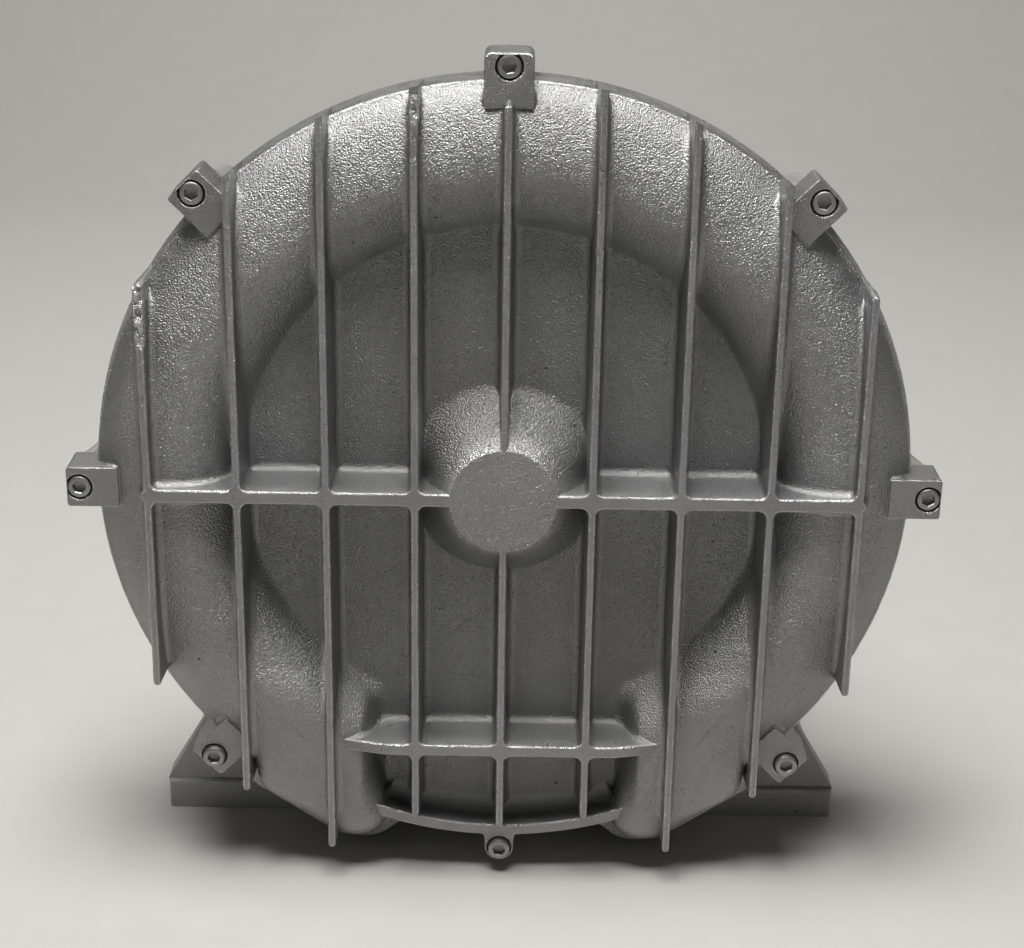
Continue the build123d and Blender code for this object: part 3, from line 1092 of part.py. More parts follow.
def foot_web():
    """Left web on the front of the foot, which climbs behind the lower screw lug and leans back."""
    lug_x, lug_z = polar(FLANGE_R + SCREW_STANDOFF, 225)
    web_y, foot_z = FOOT_FRONT_Y + WEB_SETBACK, FOOT_TOP_Z - FOOT_NOSE_R
    wall = make_face(Polyline((-FOOT_HALF_WIDTH, foot_z), (-FOOT_HALF_WIDTH, FOOT_TOP_Z),
                              (lug_x - LUG_WIDTH / math.sqrt(8), lug_z), (-FOOT_INNER_X, lug_z),
                              (-FOOT_INNER_X, foot_z), close=True))
    wall = wall - Circle(FLANGE_R + WEB_GAP) - lobe_outline(-WEB_GAP)
    lean = make_face(Polyline((web_y, foot_z), (web_y, FOOT_TOP_Z), (web_y + WEB_LEAN, lug_z), (web_y, lug_z),
                              close=True))
    return slab(wall, web_y, web_y + WEB_THICKNESS) - extrude(Plane.YZ * lean, amount=-FOOT_HALF_WIDTH)


def silencer():
    """Left silencer casting: tube with a flange at each end, on its mounting foot and web."""
    tube = rod(-PORT_X, PORT_Z, SILENCER_OUTER_R, SILENCER_Y, SILENCER_END_Y)
    flanges = [port_plate(-PORT_X, SILENCER_Y, SILENCER_Y + SILENCER_FLANGE),
               port_plate(-PORT_X, SILENCER_END_Y - SILENCER_FLANGE, SILENCER_END_Y)]
    plate, foot_holes = foot()
    reach = FOOT_WAIST_HALF_WIDTH - SILENCER_FLANGE
    gusset_z = FOOT_TOP_Z - EDGE_R
    gusset_face = make_face(Polyline((-reach, gusset_z), (-PORT_X, PORT_Z), (-PORT_X, gusset_z), close=True))
    step = (FOOT_REAR_Y - SILENCER_Y - SILENCER_FLANGE) / GUSSET_COUNT
    starts = [SILENCER_Y + SILENCER_FLANGE + (i + 0.5) * step for i in range(GUSSET_COUNT)]
    gussets = [slab(gusset_face, y, y + GUSSET_THICKNESS) for y in starts]
    body = joined(tube, [*flanges, plate, foot_web(), *gussets])
    bore = rod(-PORT_X, PORT_Z, SILENCER_OUTER_R - SILENCER_WALL, SILENCER_Y, SILENCER_END_Y)
    holes = [rod(x, z, PORT_SCREW_HOLE_R, SILENCER_Y, SILENCER_Y + SILENCER_FLANGE)
             for x, z in corners(-PORT_X, PORT_Z, PORT_SCREW_SPACING)]
    threads = [rod(x, z, PORT_SCREW_R, SILENCER_END_Y - SILENCER_FLANGE, SILENCER_END_Y)
               for x, z in corners(-PORT_X, PORT_Z, PORT_SCREW_SPACING)]
    return without(body, [bore, *holes, *threads, *foot_holes])


def port_gasket(y):
    """Left flat gasket of a port flange, front face at y."""
    bore = rod(-PORT_X, PORT_Z, DUCT_R, y, y + PORT_GASKET)
    holes = [rod(x, z, PORT_SCREW_HOLE_R, y, y + PORT_GASKET)
             for x, z in corners(-PORT_X, PORT_Z, PORT_SCREW_SPACING)]
    return without(port_plate(-PORT_X, y, y + PORT_GASKET), [bore, *holes])


def silencer_foam():
    """Left absorber sleeve of open-cell foam inside the silencer tube."""
    y0, y1 = SILENCER_Y + FOAM_END_GAP, SILENCER_END_Y - FOAM_END_GAP
    tube = rod(-PORT_X, PORT_Z, SILENCER_OUTER_R - SILENCER_WALL, y0, y1)
    return tube - rod(-PORT_X, PORT_Z, FOAM_BORE_R, y0, y1)


def port_flange():
    """Left threaded port flange at the silencer's free end."""
    y0 = SILENCER_END_Y + PORT_GASKET
    bore = rod(-PORT_X, PORT_Z, PORT_THREAD_R, y0, y0 + PORT_PLATE)
    holes = [rod(x, z, PORT_SCREW_HOLE_R, y0, y0 + PORT_PLATE)
             for x, z in corners(-PORT_X, PORT_Z, PORT_SCREW_SPACING)]
    seats = [rod(x, z, PORT_SCREW_R * 2, y0 + PORT_PLATE / 2, y0 + PORT_PLATE)
             for x, z in corners(-PORT_X, PORT_Z, PORT_SCREW_SPACING)]
    return without(port_plate(-PORT_X, y0, y0 + PORT_PLATE), [bore, *holes, *seats])


def silencer_screws():
    """M8 screws that hold the left silencer to the impeller housing."""
    seat = SILENCER_Y + SILENCER_FLANGE
    grip = SILENCER_FLANGE + PORT_GASKET + PORT_SCREW_DEPTH - CLAMP_GAP
    screw = rear_screw(PORT_SCREW_R, grip, PORT_SCREW_AF, PORT_SCREW_HEAD)
    places = corners(-PORT_X, PORT_Z, PORT_SCREW_SPACING)
    return Compound(children=[Pos(x, seat, z) * screw for x, z in places])


def port_screws():
    """M8 screws that hold the left port flange to its silencer."""
    seat = SILENCER_END_Y + PORT_GASKET + PORT_PLATE / 2
    grip = PORT_PLATE / 2 + PORT_GASKET + SILENCER_FLANGE - CLAMP_GAP
    screw = rear_screw(PORT_SCREW_R, grip, PORT_SCREW_AF, PORT_SCREW_HEAD)
    places = corners(-PORT_X, PORT_Z, PORT_SCREW_SPACING)
    return Compound(children=[Pos(x, seat, z) * screw for x, z in places])


# ---------------------------------------------------------------- assembly
def to_row_frame(shape):
    """Move a piece so that the origin lies on the ground, midway between the foot holes."""
    return Pos(0, -FOOT_CENTRE_Y, SHAFT_HEIGHT) * shape


def pieces():
    """Every piece of the blower by node name."""
    parts = {
        "front_cover": front_cover(), "cover_screws": cover_screws(),
        "impeller_housing": impeller_housing(),
        "impeller": impeller(), "impeller_key": impeller_key(), "clamp_washer": clamp_washer(),
        "clamp_bolt": clamp_bolt(), "shaft_spacer": shaft_spacer(), "shaft": shaft(),
        "rotor_core": rotor_core(), "cooling_fan": cooling_fan(), "fan_clip": fan_clip(),
        "shaft_seal": shaft_seal(), "bearing_retainer": bearing_retainer(),
        "retainer_screws": retainer_screws(),
        "motor_frame": motor_frame(), "stator_core": stator_core(), "stator_windings": stator_windings(),
        "end_shield": end_shield(), "preload_spring": preload_spring(), "tie_bolts": tie_bolts(),
        "fan_cowl": fan_cowl(), "cowl_screws": cowl_screws(),
        "box_gasket": box_gasket(), "terminal_box": terminal_box(), "box_screws": box_screws(),
        "lid_gasket": lid_gasket(), "terminal_lid": terminal_lid(), "lid_screws": lid_screws(),
        "gland_body": gland_body(), "gland_nut": gland_nut(), "gland_seal": gland_seal(),
        "blanking_plug": blanking_plug(), "terminal_board": terminal_board(),
        "terminal_studs": terminal_studs(), "terminal_links": terminal_links(),
    }
    for end, y in (("drive", DRIVE_BEARING_Y), ("fan", REAR_BEARING_Y)):
        parts[end + "_bearing_inner_ring"] = bearing_inner_ring(y)
        parts[end + "_bearing_outer_ring"] = bearing_outer_ring(y)
        parts[end + "_bearing_balls"] = bearing_balls(y)
        parts[end + "_bearing_cage"] = bearing_cage(y)
    handed = {
        "silencer": silencer(), "silencer_gasket": port_gasket(HOUSING_PORT_FACE_Y),
        "silencer_foam": silencer_foam(), "silencer_screws": silencer_screws(),
        "port_gasket": port_gasket(SILENCER_END_Y), "port_flange": port_flange(),
        "port_screws": port_screws(),
    }
    for name, piece in handed.items():
        parts[name + "_left"] = piece
        parts[name + "_right"] = mirrored(piece)
    return parts


os.makedirs("parts", exist_ok=True)
for node, piece in pieces().items():
    export_step(to_row_frame(piece), "parts/" + node + ".step")
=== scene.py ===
"""Looks of a side channel blower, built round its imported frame.

Blender 4.5 script. Sizes here are in millimetres in the casting's own frame: x across, y back from the
faces of the cover's screw lugs, z up from the shaft. row_frame() turns them into metres on the ground.
"""

import json
import math

import bmesh
import bpy
import numpy as np
from bpy.props import FloatProperty, FloatVectorProperty, PointerProperty
from bpy.types import Operator, Panel, PropertyGroup
from mathutils import Matrix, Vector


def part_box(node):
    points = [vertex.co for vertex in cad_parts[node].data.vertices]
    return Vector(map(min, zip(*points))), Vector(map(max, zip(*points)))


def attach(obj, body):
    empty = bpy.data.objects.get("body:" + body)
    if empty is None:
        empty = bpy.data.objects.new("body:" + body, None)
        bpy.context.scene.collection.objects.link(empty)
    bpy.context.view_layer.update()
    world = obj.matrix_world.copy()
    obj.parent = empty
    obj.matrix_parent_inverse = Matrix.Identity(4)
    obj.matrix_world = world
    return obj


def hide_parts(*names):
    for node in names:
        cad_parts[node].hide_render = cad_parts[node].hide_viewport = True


bl_info = {
    "name": "Side Channel Blower",
    "version": (1, 0, 0),
    "blender": (4, 5, 0),
    "location": "3D View > Sidebar > Blower",
    "description": "Builds the looks of a side channel blower round its frame",
    "category": "Object",
}

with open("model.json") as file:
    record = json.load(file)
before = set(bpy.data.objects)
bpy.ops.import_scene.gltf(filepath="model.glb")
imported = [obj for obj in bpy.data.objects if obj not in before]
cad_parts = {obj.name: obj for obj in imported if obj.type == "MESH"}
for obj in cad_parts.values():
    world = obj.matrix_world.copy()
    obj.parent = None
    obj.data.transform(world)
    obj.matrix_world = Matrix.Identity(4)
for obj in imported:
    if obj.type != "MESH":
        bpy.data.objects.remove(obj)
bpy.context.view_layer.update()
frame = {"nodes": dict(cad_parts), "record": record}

MM = 0.001
PARTING_Y = 20.0
SHAFT_HEIGHT = (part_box("shaft")[0][2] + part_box("shaft")[1][2]) / 2 / MM
ORIGIN = np.array([0.0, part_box("front_cover")[1][1] / MM - PARTING_Y, SHAFT_HEIGHT])
WELD = 1e-3                 # points nearer than this are one

# Skin of the cover
PANEL_Y = 15.5
FLANGE_Y = 10.0
BLENDS = (5.0, 2.5)         # width of the blend from the torus to the panel and to the flange
CHANNEL_R = 145.0           # circle that the side channel follows
CHANNEL_Y = 27.3
SECTION_OUTER_R = 31.3      # channel section, outside and inside
SECTION_INNER_R = 26.8
RIM_R = 178.3
RIM_STRETCH = 0.79          # the section is that much flatter outside the circle
RIM_EDGE_R = 1.0
RIM_STEP_R = 174.0          # radius at which the outline's steps at the bottom are placed
STRIPPER_X = (52.0, 64.0)   # channel fades out between these, below the shaft
BOTTOM_X = (54.0, 62.0)     # outline steps out from the band to the rim between these
UNEVEN_FADE = (176.0, 168.0)    # the skin's unevenness dies out towards the rim between these
SHELL_SIDES = 480

# Ribs and hub
PITCH = 2.4                 # steps along a bar, and along one with chips
FINE_PITCH = 1.0
RIB_PITCH = 38.4
RIB_PAIRS = 4
RIB_FRONT_Y = -10.0
RIB_DRAFT = math.radians(2.4)
RIB_FOOT_R = 3.4
RIB_ENDS = [(171.0, -160.5), (185.0, -155.5), (185.0, -172.6), (185.0, -143.5), (180.0, -91.0)]
RIB_REACH = (182.2, 0.085)  # radius of the ribs' upper ends at their front, and what it loses per mm back
CROSS_RIB_WIDTH = 6.0
CHIPPED = {-4: (67.0, 95.0, 1.6), -1: (163.0, 176.0, 1.1)}   # rib: height range of its chips, and depth
CHIP_REACH = (7.0, 2.0)     # the chips die out between these distances behind the rib's front
DENTS = [(-153.6, 45, 3.2, 0.9), (-153.4, 62, 2.4, 0.7), (-38.4, 150, 2.6, 0.8), (-38.0, 158, 1.8, 0.5),
         (-115.2, 84, 2.0, 0.6), (-76.8, 60, 1.8, 0.5), (0, -48, 2.0, 0.6), (115.4, 102, 1.8, 0.4)]
LOWER_RIB = (-121.5, 5.5, 78.0)          # height, width, half length
LOWER_RIB_DROP = (6.2, 48.0)             # how far its ends fall back, and where that begins
HUB_RADII = (24.0, 44.0)
HUB_FOOT_R = 5.0
COVE_BURY = 1.3             # how far a crossing's rounding reaches into both ribs

# Duct lobes and band
LOBE_FRONT_Y = -3.3
LOBE_DRAFT = math.radians(9)
LOBE_ARC = (229, 205)       # inner side of a lobe: its angles, its radius at the first, and what that gains
LOBE_ARC_R = (116.3, 26.0)
LOBE_ELBOW = (-60.3, -104.4)
LOBE_OUTSIDE = ((152, 206), (163, 216), (171.9, 226.65))      # radius and angle
LOBE_TOE = ((-113.5, -149.5), (-73.0, -176.5), (-60.0, -177.0), (-46.5, -166.5))
LOBE_ROUNDING = ([22.0], [0.0, 0.0, 20.0], [11.0, 12.0, 9.0, 9.0])    # elbow, outside and toe
LOBE_CENTRE = (-80.0, -130.0)
LOBE_MARGIN = 7.0           # inside the outline, where rows along it take over from rows round the centre
DISC_R = 5                  # the lobe's distance is averaged over a disc of that radius
BAND_RADII = (165.0, 170.5)
BAND_REACH = 61.0
BAND_DRAFT = math.radians(3)
BAND_FOOT_R = 7.0

# Lugs and screws
SCREW_CIRCLE_R = 185.0
LUG_ENDS = (168.0, 190.5)
LUG_ANGLES = (0, 45, 90, 135, 180, 225, 315)
LUG_EDGE_R = 0.35
TOP_LUG_EDGE_R = 0.8
TOP_LUG_CORNER_R = 3.2
LUG_FOOT_R = 2.2
EAR_Z = -177.0
EAR_CORNERS = [(-10.0, -167.5), (-6.7, -171.5), (-6.5, -183.5), (6.5, -183.5), (6.7, -171.5), (10.0, -167.5)]
EAR_ROUNDING = [0.0, 3.5, 6.45, 6.45, 3.5, 0.0]
COUNTERBORE_R = 5.7
SEATS = (6.0, 3.5)          # depth of a screw's seat, and of the three at the bottom
BORE_ROWS = ((0.0, 0.2), (0.4, 0.1), (0.9, 0.05))   # wall, lip, face: past the bore, and room to the edge
SHANK_R = 3.0
SHANK_TIP = (17.5, 18.0, 2.5)            # behind the parting plane: its chamfer, its end, and radius there
FOOT_FADE = (176.5, 173.0)  # feet of walls die out towards the rim between these radii
FOOT_SHARE = 0.8            # the most that a foot takes of its wall's height

# Housing
HOUSING_DRAW = 0.24         # how far the housing's wall comes in for each mm back
HOUSING_DEPTH = 37.0
HOUSING_BARREL_R = 172.5
SCREW_CLEAR_R = 3.6         # the screws' bores keep their shape within this
RUBBED_RIM = (179.0, 0.5, 0.5)           # rubbed edge: least radius, depth behind the parting plane, wear

# Noise in the finishes, per metre, and heights of their relief in metres
PUSH_SCALE, PUSH_REACH = 260.0, 0.0004
PATCH_SCALE, GRIT_SCALE, CLOUD_SCALE = 28.0, 2100.0, 14.0
SPECK_SCALE, GLINT_SCALE, POLISH_SCALE = 620.0, 2300.0, 55.0
COARSE_WEAR_SCALE, FINE_WEAR_SCALE = 70.0, 700.0
STAIN_SCALE, PIT_SCALE, PIT_PATCH_SCALE = 9.0, 95.0, 40.0
STAIN_HEIGHTS = (0.02, 0.2)
CAST_RELIEF, PLAIN_RELIEF, FLOOR_RELIEF = 0.00055, 0.0004, 0.001

# Stage, in metres and degrees
FLOOR_Y = (-4.0, -1.0, 2.4)              # front end, start of the finer rows, foot of the backdrop's wall
FLOOR_HALF_WIDTH = 4.0
BACKDROP_BEND = 1.2
BACKDROP_TOP = 4.0
LIGHTS = {                               # place, target, width, and the value that holds the power
    "key_light": ((-0.12, -0.38, 1.7), (0.0, -0.1, 0.2), 0.85, "key_power"),
    "fill_light": ((0.5, -2.2, 0.9), (0.0, 0.0, 0.2), 1.2, "fill_power"),
    "back_light": ((0.0, 0.7, 1.7), (0.0, 2.4, 0.9), 1.0, "back_power"),
}
LIGHT_COLOUR = (1.0, 0.98, 0.95)
CAMERA_PLACE = (0.0042, -0.9809, 0.5159)
CAMERA_TURN = (20.86, 0.05, 0.87)        # down, left, and round the line of sight
SENSOR_WIDTH = 36.0


# ---------------------------------------------------------------- numbers
def row_frame(points):
    """Casting frame in millimetres to the row frame in metres: add the origin, divide by a thousand."""
    return (points + ORIGIN) * MM


def smooth_step(low, high, value):
    """0 below low, 1 above high, and t * t * (3 - 2 t) between, t running evenly from 0 to 1."""
    t = np.clip((value - low) / (high - low), 0, 1)
    return t * t * (3 - 2 * t)


def nearer(a, b, blend):
    """The smaller depth of a and b; where they differ by less than blend, a parabola joins them smoothly."""
    h = np.clip(0.5 + 0.5 * (b - a) / blend, 0, 1)
    return b * (1 - h) + a * h - blend * h * (1 - h)


def lumps(x, z, size, seed):
    """Slow unevenness of a casting, -1 to 1: the mean of five sine waves of random direction and phase."""
    draw = np.random.default_rng(seed)
    turn, phase = draw.uniform(0, np.pi, 5), draw.uniform(0, 2 * np.pi, 5)
    pitch = size * draw.uniform(0.6, 1.6, 5)
    along = np.multiply.outer(x, np.cos(turn)) + np.multiply.outer(z, np.sin(turn))
    return np.sin(2 * np.pi * along / pitch + phase).mean(-1)


def polar(radius, degrees):
    """Point at that radius and angle round the shaft, 0 to the right and 90 up."""
    return radius * np.array([np.cos(np.radians(degrees)), np.sin(np.radians(degrees))])


def rounded_outline(corners, radii, pitch):
    """Closed outline through rounded corners, in even steps of about pitch, with its outward normals.

    Each corner becomes an arc tangent to its two sides: it starts radius * tan(half the turn) before the
    corner. The steps are then evened out by arc length, and a normal is the step's direction turned by 90
    degrees."""
    corners = np.asarray(corners, float)
    chain = []
    for i, radius in enumerate(radii):
        here = corners[i]
        back, ahead = corners[i - 1] - here, corners[(i + 1) % len(corners)] - here
        back, ahead = back / np.hypot(*back), ahead / np.hypot(*ahead)
        half_turn = (np.pi - np.arccos(np.clip(back @ ahead, -1, 1))) / 2
        if radius <= 0 or half_turn < 1e-3:
            chain.append(here[None])
            continue
        middle = (back + ahead) / np.hypot(*(back + ahead))
        centre = here + middle * radius / np.cos(half_turn)
        start, end = here + back * radius * np.tan(half_turn), here + ahead * radius * np.tan(half_turn)
        turn, share = 2 * half_turn, np.linspace(0, 1, 12)[:, None]
        spokes = (start - centre) * np.sin((1 - share) * turn) + (end - centre) * np.sin(share * turn)
        chain.append(centre + spokes / np.sin(turn))
    chain = np.concatenate(chain)
    closed = np.vstack([chain, chain[:1]])
    length = np.concatenate([[0], np.cumsum(np.hypot(*np.diff(closed, axis=0).T))])
    stations = np.linspace(0, length[-1], int(length[-1] / pitch) + 1)[:-1]
    points = np.stack([np.interp(stations, length, column) for column in closed.T], -1)
    return points, outward(points)


def outward(points):
    """Outward normals of a closed outline: the step between a point's neighbours, turned by 90 degrees."""
    step = np.roll(points, -1, 0) - np.roll(points, 1, 0)
    area = (points[:, 0] * np.roll(points[:, 1], -1) - points[:, 1] * np.roll(points[:, 0], -1)).sum()
    normals = np.stack([step[:, 1], -step[:, 0]], -1) * np.sign(area)
    return normals / np.linalg.norm(normals, axis=1, keepdims=True)


def depth_inside(x, z, outline):
    """Distance from points to a closed outline, positive inside it.

    It is the least distance to the outline's sides; a point is inside if a ray from it crosses an odd
    number of sides."""
    point = np.stack([np.ravel(x), np.ravel(z)], -1)[:, None]
    start, end = outline[None], np.roll(outline, -1, 0)[None]
    side = end - start
    share = np.clip(((point - start) * side).sum(-1) / (side ** 2).sum(-1), 0, 1)
    gap = point - start - share[..., None] * side
    spans = (start[..., 1] > point[..., 1]) != (end[..., 1] > point[..., 1])
    rise = np.where(side[..., 1] == 0, 1, side[..., 1])
    cross_x = start[..., 0] + (point[..., 1] - start[..., 1]) * side[..., 0] / rise
    inside = (spans & (point[..., 0] < cross_x)).sum(1) % 2
    return (np.sqrt((gap ** 2).sum(-1).min(1)) * np.where(inside, 1, -1)).reshape(np.shape(x))


# ---------------------------------------------------------------- shape of the cover's skin
def channel_share(x, z):
    """How much of the side channel there is: all of it, but none under the shaft between the ducts."""
    return np.where(z < 0, smooth_step(*STRIPPER_X, np.abs(x)), 1.0)


def section_depth(x, z, radius):
    """Depth of a torus of that section radius: CHANNEL_Y - sqrt(radius^2 - (r - CHANNEL_R)^2)."""
    off = np.hypot(x, z) - CHANNEL_R
    return CHANNEL_Y - np.sqrt(np.maximum(radius ** 2 - off ** 2, 0))


def outer_depth(x, z):
    """Front of the torus: its section is stretched outside CHANNEL_R so that it runs out at the rim."""
    off = np.hypot(x, z) - CHANNEL_R
    off = np.where(off > 0, off * RIM_STRETCH, off)
    return CHANNEL_Y - np.sqrt(np.maximum(SECTION_OUTER_R ** 2 - off ** 2, 0))


def shell_depth(x, z):
    """Front of the cover: panel inside and flange outside the channel's torus, with smooth blends."""
    share = channel_share(x, z)
    bottom = (z < 0) & (np.abs(x) < STRIPPER_X[1])
    flat = np.where((np.hypot(x, z) < CHANNEL_R) | bottom, PANEL_Y, FLANGE_Y)
    torus = outer_depth(x, z) * share + flat * (1 - share)
    uneven = 0.25 * lumps(x, z, 60, 1) + 0.12 * lumps(x, z, 23, 2)
    blend = np.where(np.hypot(x, z) < CHANNEL_R, *BLENDS)
    return nearer(torus, flat, blend) + uneven * smooth_step(*UNEVEN_FADE, np.hypot(x, z))


def shell_back(x, z):
    """Back of the cover: the parting plane, hollowed by the channel's inner torus."""
    share = channel_share(x, z)
    torus = section_depth(x, z, SECTION_INNER_R) * share + PARTING_Y * (1 - share)
    return np.minimum(torus, PARTING_Y)


def skin_pebble(x, z):
    """How pebbled the cover is: most on the torus, less inside it, at its rim and towards the ground.

    It is a tenth plus a product: 0.75 at the hub rising to 1 on the torus, 1 falling to 0.4 at the rim,
    and 1 falling to 0.6 at the bottom."""
    radius = np.hypot(x, z)
    inner, rim = 0.75 + 0.25 * smooth_step(60, 115, radius), 1 - 0.6 * smooth_step(164, 174, radius)
    return 0.1 + inner * rim * (1 - 0.4 * smooth_step(-60, -125, z))


def rim_radius(x, z, rim):
    """Radius of the cover's outline: the rim's, stepping in to the band between the ducts."""
    out = np.where(z < 0, smooth_step(*BOTTOM_X, np.abs(x)), 1.0)
    return BAND_RADII[1] + (rim - BAND_RADII[1]) * out


def lobe_outline():
    """Left duct lobe at the parting plane: along the channel's inner circle to the elbow, then the toe.

    Its upper end draws in towards the circle of the channel, so that the lobe grows out of the torus."""
    turn = np.linspace(*LOBE_ARC, 13)
    arc = polar(LOBE_ARC_R[0] + LOBE_ARC_R[1] * smooth_step(*LOBE_ARC, turn), turn).T
    corners = [LOBE_ELBOW, *arc, *(polar(*place) for place in LOBE_OUTSIDE), *LOBE_TOE]
    elbow, outside, toe = LOBE_ROUNDING
    return rounded_outline(corners, elbow + [0.0] * len(arc) + outside + toe, 2.0)


LOBE_SIDES, LOBE_NORMALS = lobe_outline()
LOBE_INSET = (PARTING_Y - LOBE_FRONT_Y) * math.tan(LOBE_DRAFT)
LOBE_GRID = (np.arange(-140.0, -29.0), np.arange(-205.0, -39.0))


def softened_distance():
    """Distance inside the lobe's outline on a 1 mm grid, as the mean over a disc of radius DISC_R."""
    x, z = np.meshgrid(*LOBE_GRID, indexing="ij")
    raw = depth_inside(x, z, LOBE_SIDES)
    step = np.arange(-DISC_R, DISC_R + 1)
    disc = [(i, j) for i in step for j in step if i * i + j * j <= DISC_R ** 2 + 1]
    return np.mean([np.roll(raw, shift, (0, 1)) for shift in disc], axis=0)


LOBE_DISTANCE = softened_distance()


def lobe_distance(x, z):
    """The softened distance at any point, linear between the four grid points round it."""
    x, z = (np.clip(value, line[0] + DISC_R + 0.5, line[-1] - DISC_R - 0.5)
            for value, line in zip((x, z), LOBE_GRID))
    i, j = np.floor(x - LOBE_GRID[0][0]).astype(int), np.floor(z - LOBE_GRID[1][0]).astype(int)
    u, v = x - LOBE_GRID[0][i], z - LOBE_GRID[1][j]
    low = LOBE_DISTANCE[i, j] * (1 - u) + LOBE_DISTANCE[i + 1, j] * u
    high = LOBE_DISTANCE[i, j + 1] * (1 - u) + LOBE_DISTANCE[i + 1, j + 1] * u
    return low * (1 - v) + high * v


def lobe_depth(x, z):
    """Front of a duct lobe: LOBE_FRONT_Y, rounded over towards its outline by a circle of radius R.

    With e the distance missing to a full R inside the outline at the front, the depth is the front plus
    R - sqrt(R^2 - e^2); beyond the outline the flank falls away at the draft angle. R is 6 at the lobe's
    outer side, 8 more at its inner one and 9 more at its upper end."""
    inside = lobe_distance(-np.abs(x), z) - LOBE_INSET
    inner = smooth_step(-102, -74, -np.abs(x)) * (1 - 0.6 * smooth_step(-150, -168, z))
    radius = 6 + 8 * inner + 9 * smooth_step(-122, -96, z)
    missing = np.clip(radius - inside, 0, radius)
    dome = LOBE_FRONT_Y + radius - np.sqrt(radius ** 2 - missing ** 2)
    dome = dome + 0.4 * lumps(x, z, 70, 3) * smooth_step(0, 10, inside)
    return dome + np.maximum(-inside, 0) / math.tan(LOBE_DRAFT)


def beyond_rim(x, z):
    """0 within the cover's outline, 1 beyond it, and even between from 0.5 mm inside to 0.5 mm outside."""
    return np.clip(np.hypot(x, z) - rim_radius(x, z, RIM_R) + 0.5, 0, 1)


def shell_base(x, z):
    """What a lobe stands on: the cover's skin, and the parting plane beyond its outline."""
    beyond = beyond_rim(x, z)
    return shell_depth(x, z) * (1 - beyond) + PARTING_Y * beyond


def skin_depth(x, z):
    """Front of cover and lobes together, and the parting plane beyond the cover's outline."""
    blend = 6.0 - 5.0 * beyond_rim(x, z)
    return np.minimum(nearer(lobe_depth(x, z), shell_base(x, z), blend), PARTING_Y)


# ---------------------------------------------------------------- grids to meshes
def raised_form(outline, normals, centre, front, base, edge_r=1.0, draft=0.0, foot_r=0.0, bore=None,
                pebble=0.35, inner=6):
    """Closed grid of a cast form that stands on the skin: rows follow the outline, one after another.

    The profile that is carried round the outline starts on the centre line, crosses the front in a number
    of inner rows, turns over the edge on a quarter circle of edge_r, falls at the draft angle, sweeps out
    on a concave quarter circle of foot_r and comes back under the skin. That foot dies out at the cover's
    rim, and beyond it the wall runs down to the parting plane. A bore is its place, radius and depth: the
    profile then starts at its floor, and its wall and lip draw in where the edge leaves no room."""
    count = len(outline)
    rows, depths, wears = [], [], []

    def add(points, depth, wear=0.0):
        rows.append(points)
        depths.append(np.broadcast_to(depth, count).astype(float))
        wears.append(np.full(count, wear))

    shoulder = outline - edge_r * normals
    start = middle = np.broadcast_to(centre, outline.shape)
    if bore is not None:
        place, bore_r, bore_depth = bore
        middle = np.broadcast_to(place, outline.shape)
        spoke = outline - middle
        room = np.linalg.norm(spoke, axis=1, keepdims=True)
        spoke = spoke / room
        wall, lip, inside = (np.minimum(bore_r + past, room - edge_r - clear) for past, clear in BORE_ROWS)
        face = front(*outline.T)
        add(middle, bore_depth)
        add(middle + wall * 0.97 * spoke, bore_depth)
        add(middle + wall * spoke, bore_depth - 0.2)
        add(middle + wall * spoke, face + 0.5)
        add(middle + lip * spoke, face + 0.02, 0.9)
        start = middle + inside * spoke
    for share in np.linspace(0, 1, inner, endpoint=False):
        points = start + (shoulder - start) * share
        add(points, front(*points.T))
    edge_front = front(*shoulder.T)
    for angle in np.linspace(0, np.pi / 2 - draft, 6):
        points = outline - edge_r * (1 - np.sin(angle)) * normals
        add(points, edge_front + edge_r * (1 - np.cos(angle)), float(np.sin(2 * angle)))
    offset, depth = -edge_r * (1 - math.cos(draft)), depths[-1]
    floor = base(*(outline + 0.5 * normals).T)
    outside = floor >= PARTING_Y - 0.01
    foot = np.where(outside, 0, np.clip((floor - depth) * FOOT_SHARE, 0, foot_r))
    foot = foot * smooth_step(*FOOT_FADE, np.hypot(*outline.T))
    foot_depth = np.maximum(floor - foot * (1 - math.sin(draft)), depth)
    foot_offset = offset + (foot_depth - depth) * math.tan(draft)
    for share in (0.33, 0.67, 1.0):
        points = outline + (offset + (foot_offset - offset) * share)[:, None] * normals
        add(points, depth + (foot_depth - depth) * share)
    if foot_r:
        for angle in np.linspace(draft, np.pi / 2, 7)[1:]:
            sweep = foot_offset + foot * (math.cos(draft) - math.cos(angle))
            points = outline + sweep[:, None] * normals
            level = np.where(outside, PARTING_Y, base(*points.T))
            add(points, np.maximum(level - foot * (1 - math.sin(angle)), foot_depth), 0.1)
        foot_offset = foot_offset + foot * math.cos(draft)
    last = np.where(outside, PARTING_Y, np.minimum(np.maximum(depths[-1] + 0.8, floor), PARTING_Y))
    points = outline + np.where(outside, foot_offset, foot_offset + 0.3)[:, None] * normals
    add(points, last)
    back = max(float(last.max()), float(depths[0].max()) + 1.5)
    add(outline - edge_r * normals, back)
    add(middle, back)
    rows = np.array(rows)
    grid = np.stack([rows[..., 0], np.array(depths), rows[..., 1]], -1)
    return grid, np.array(wears), np.full(rows.shape[:2], pebble)


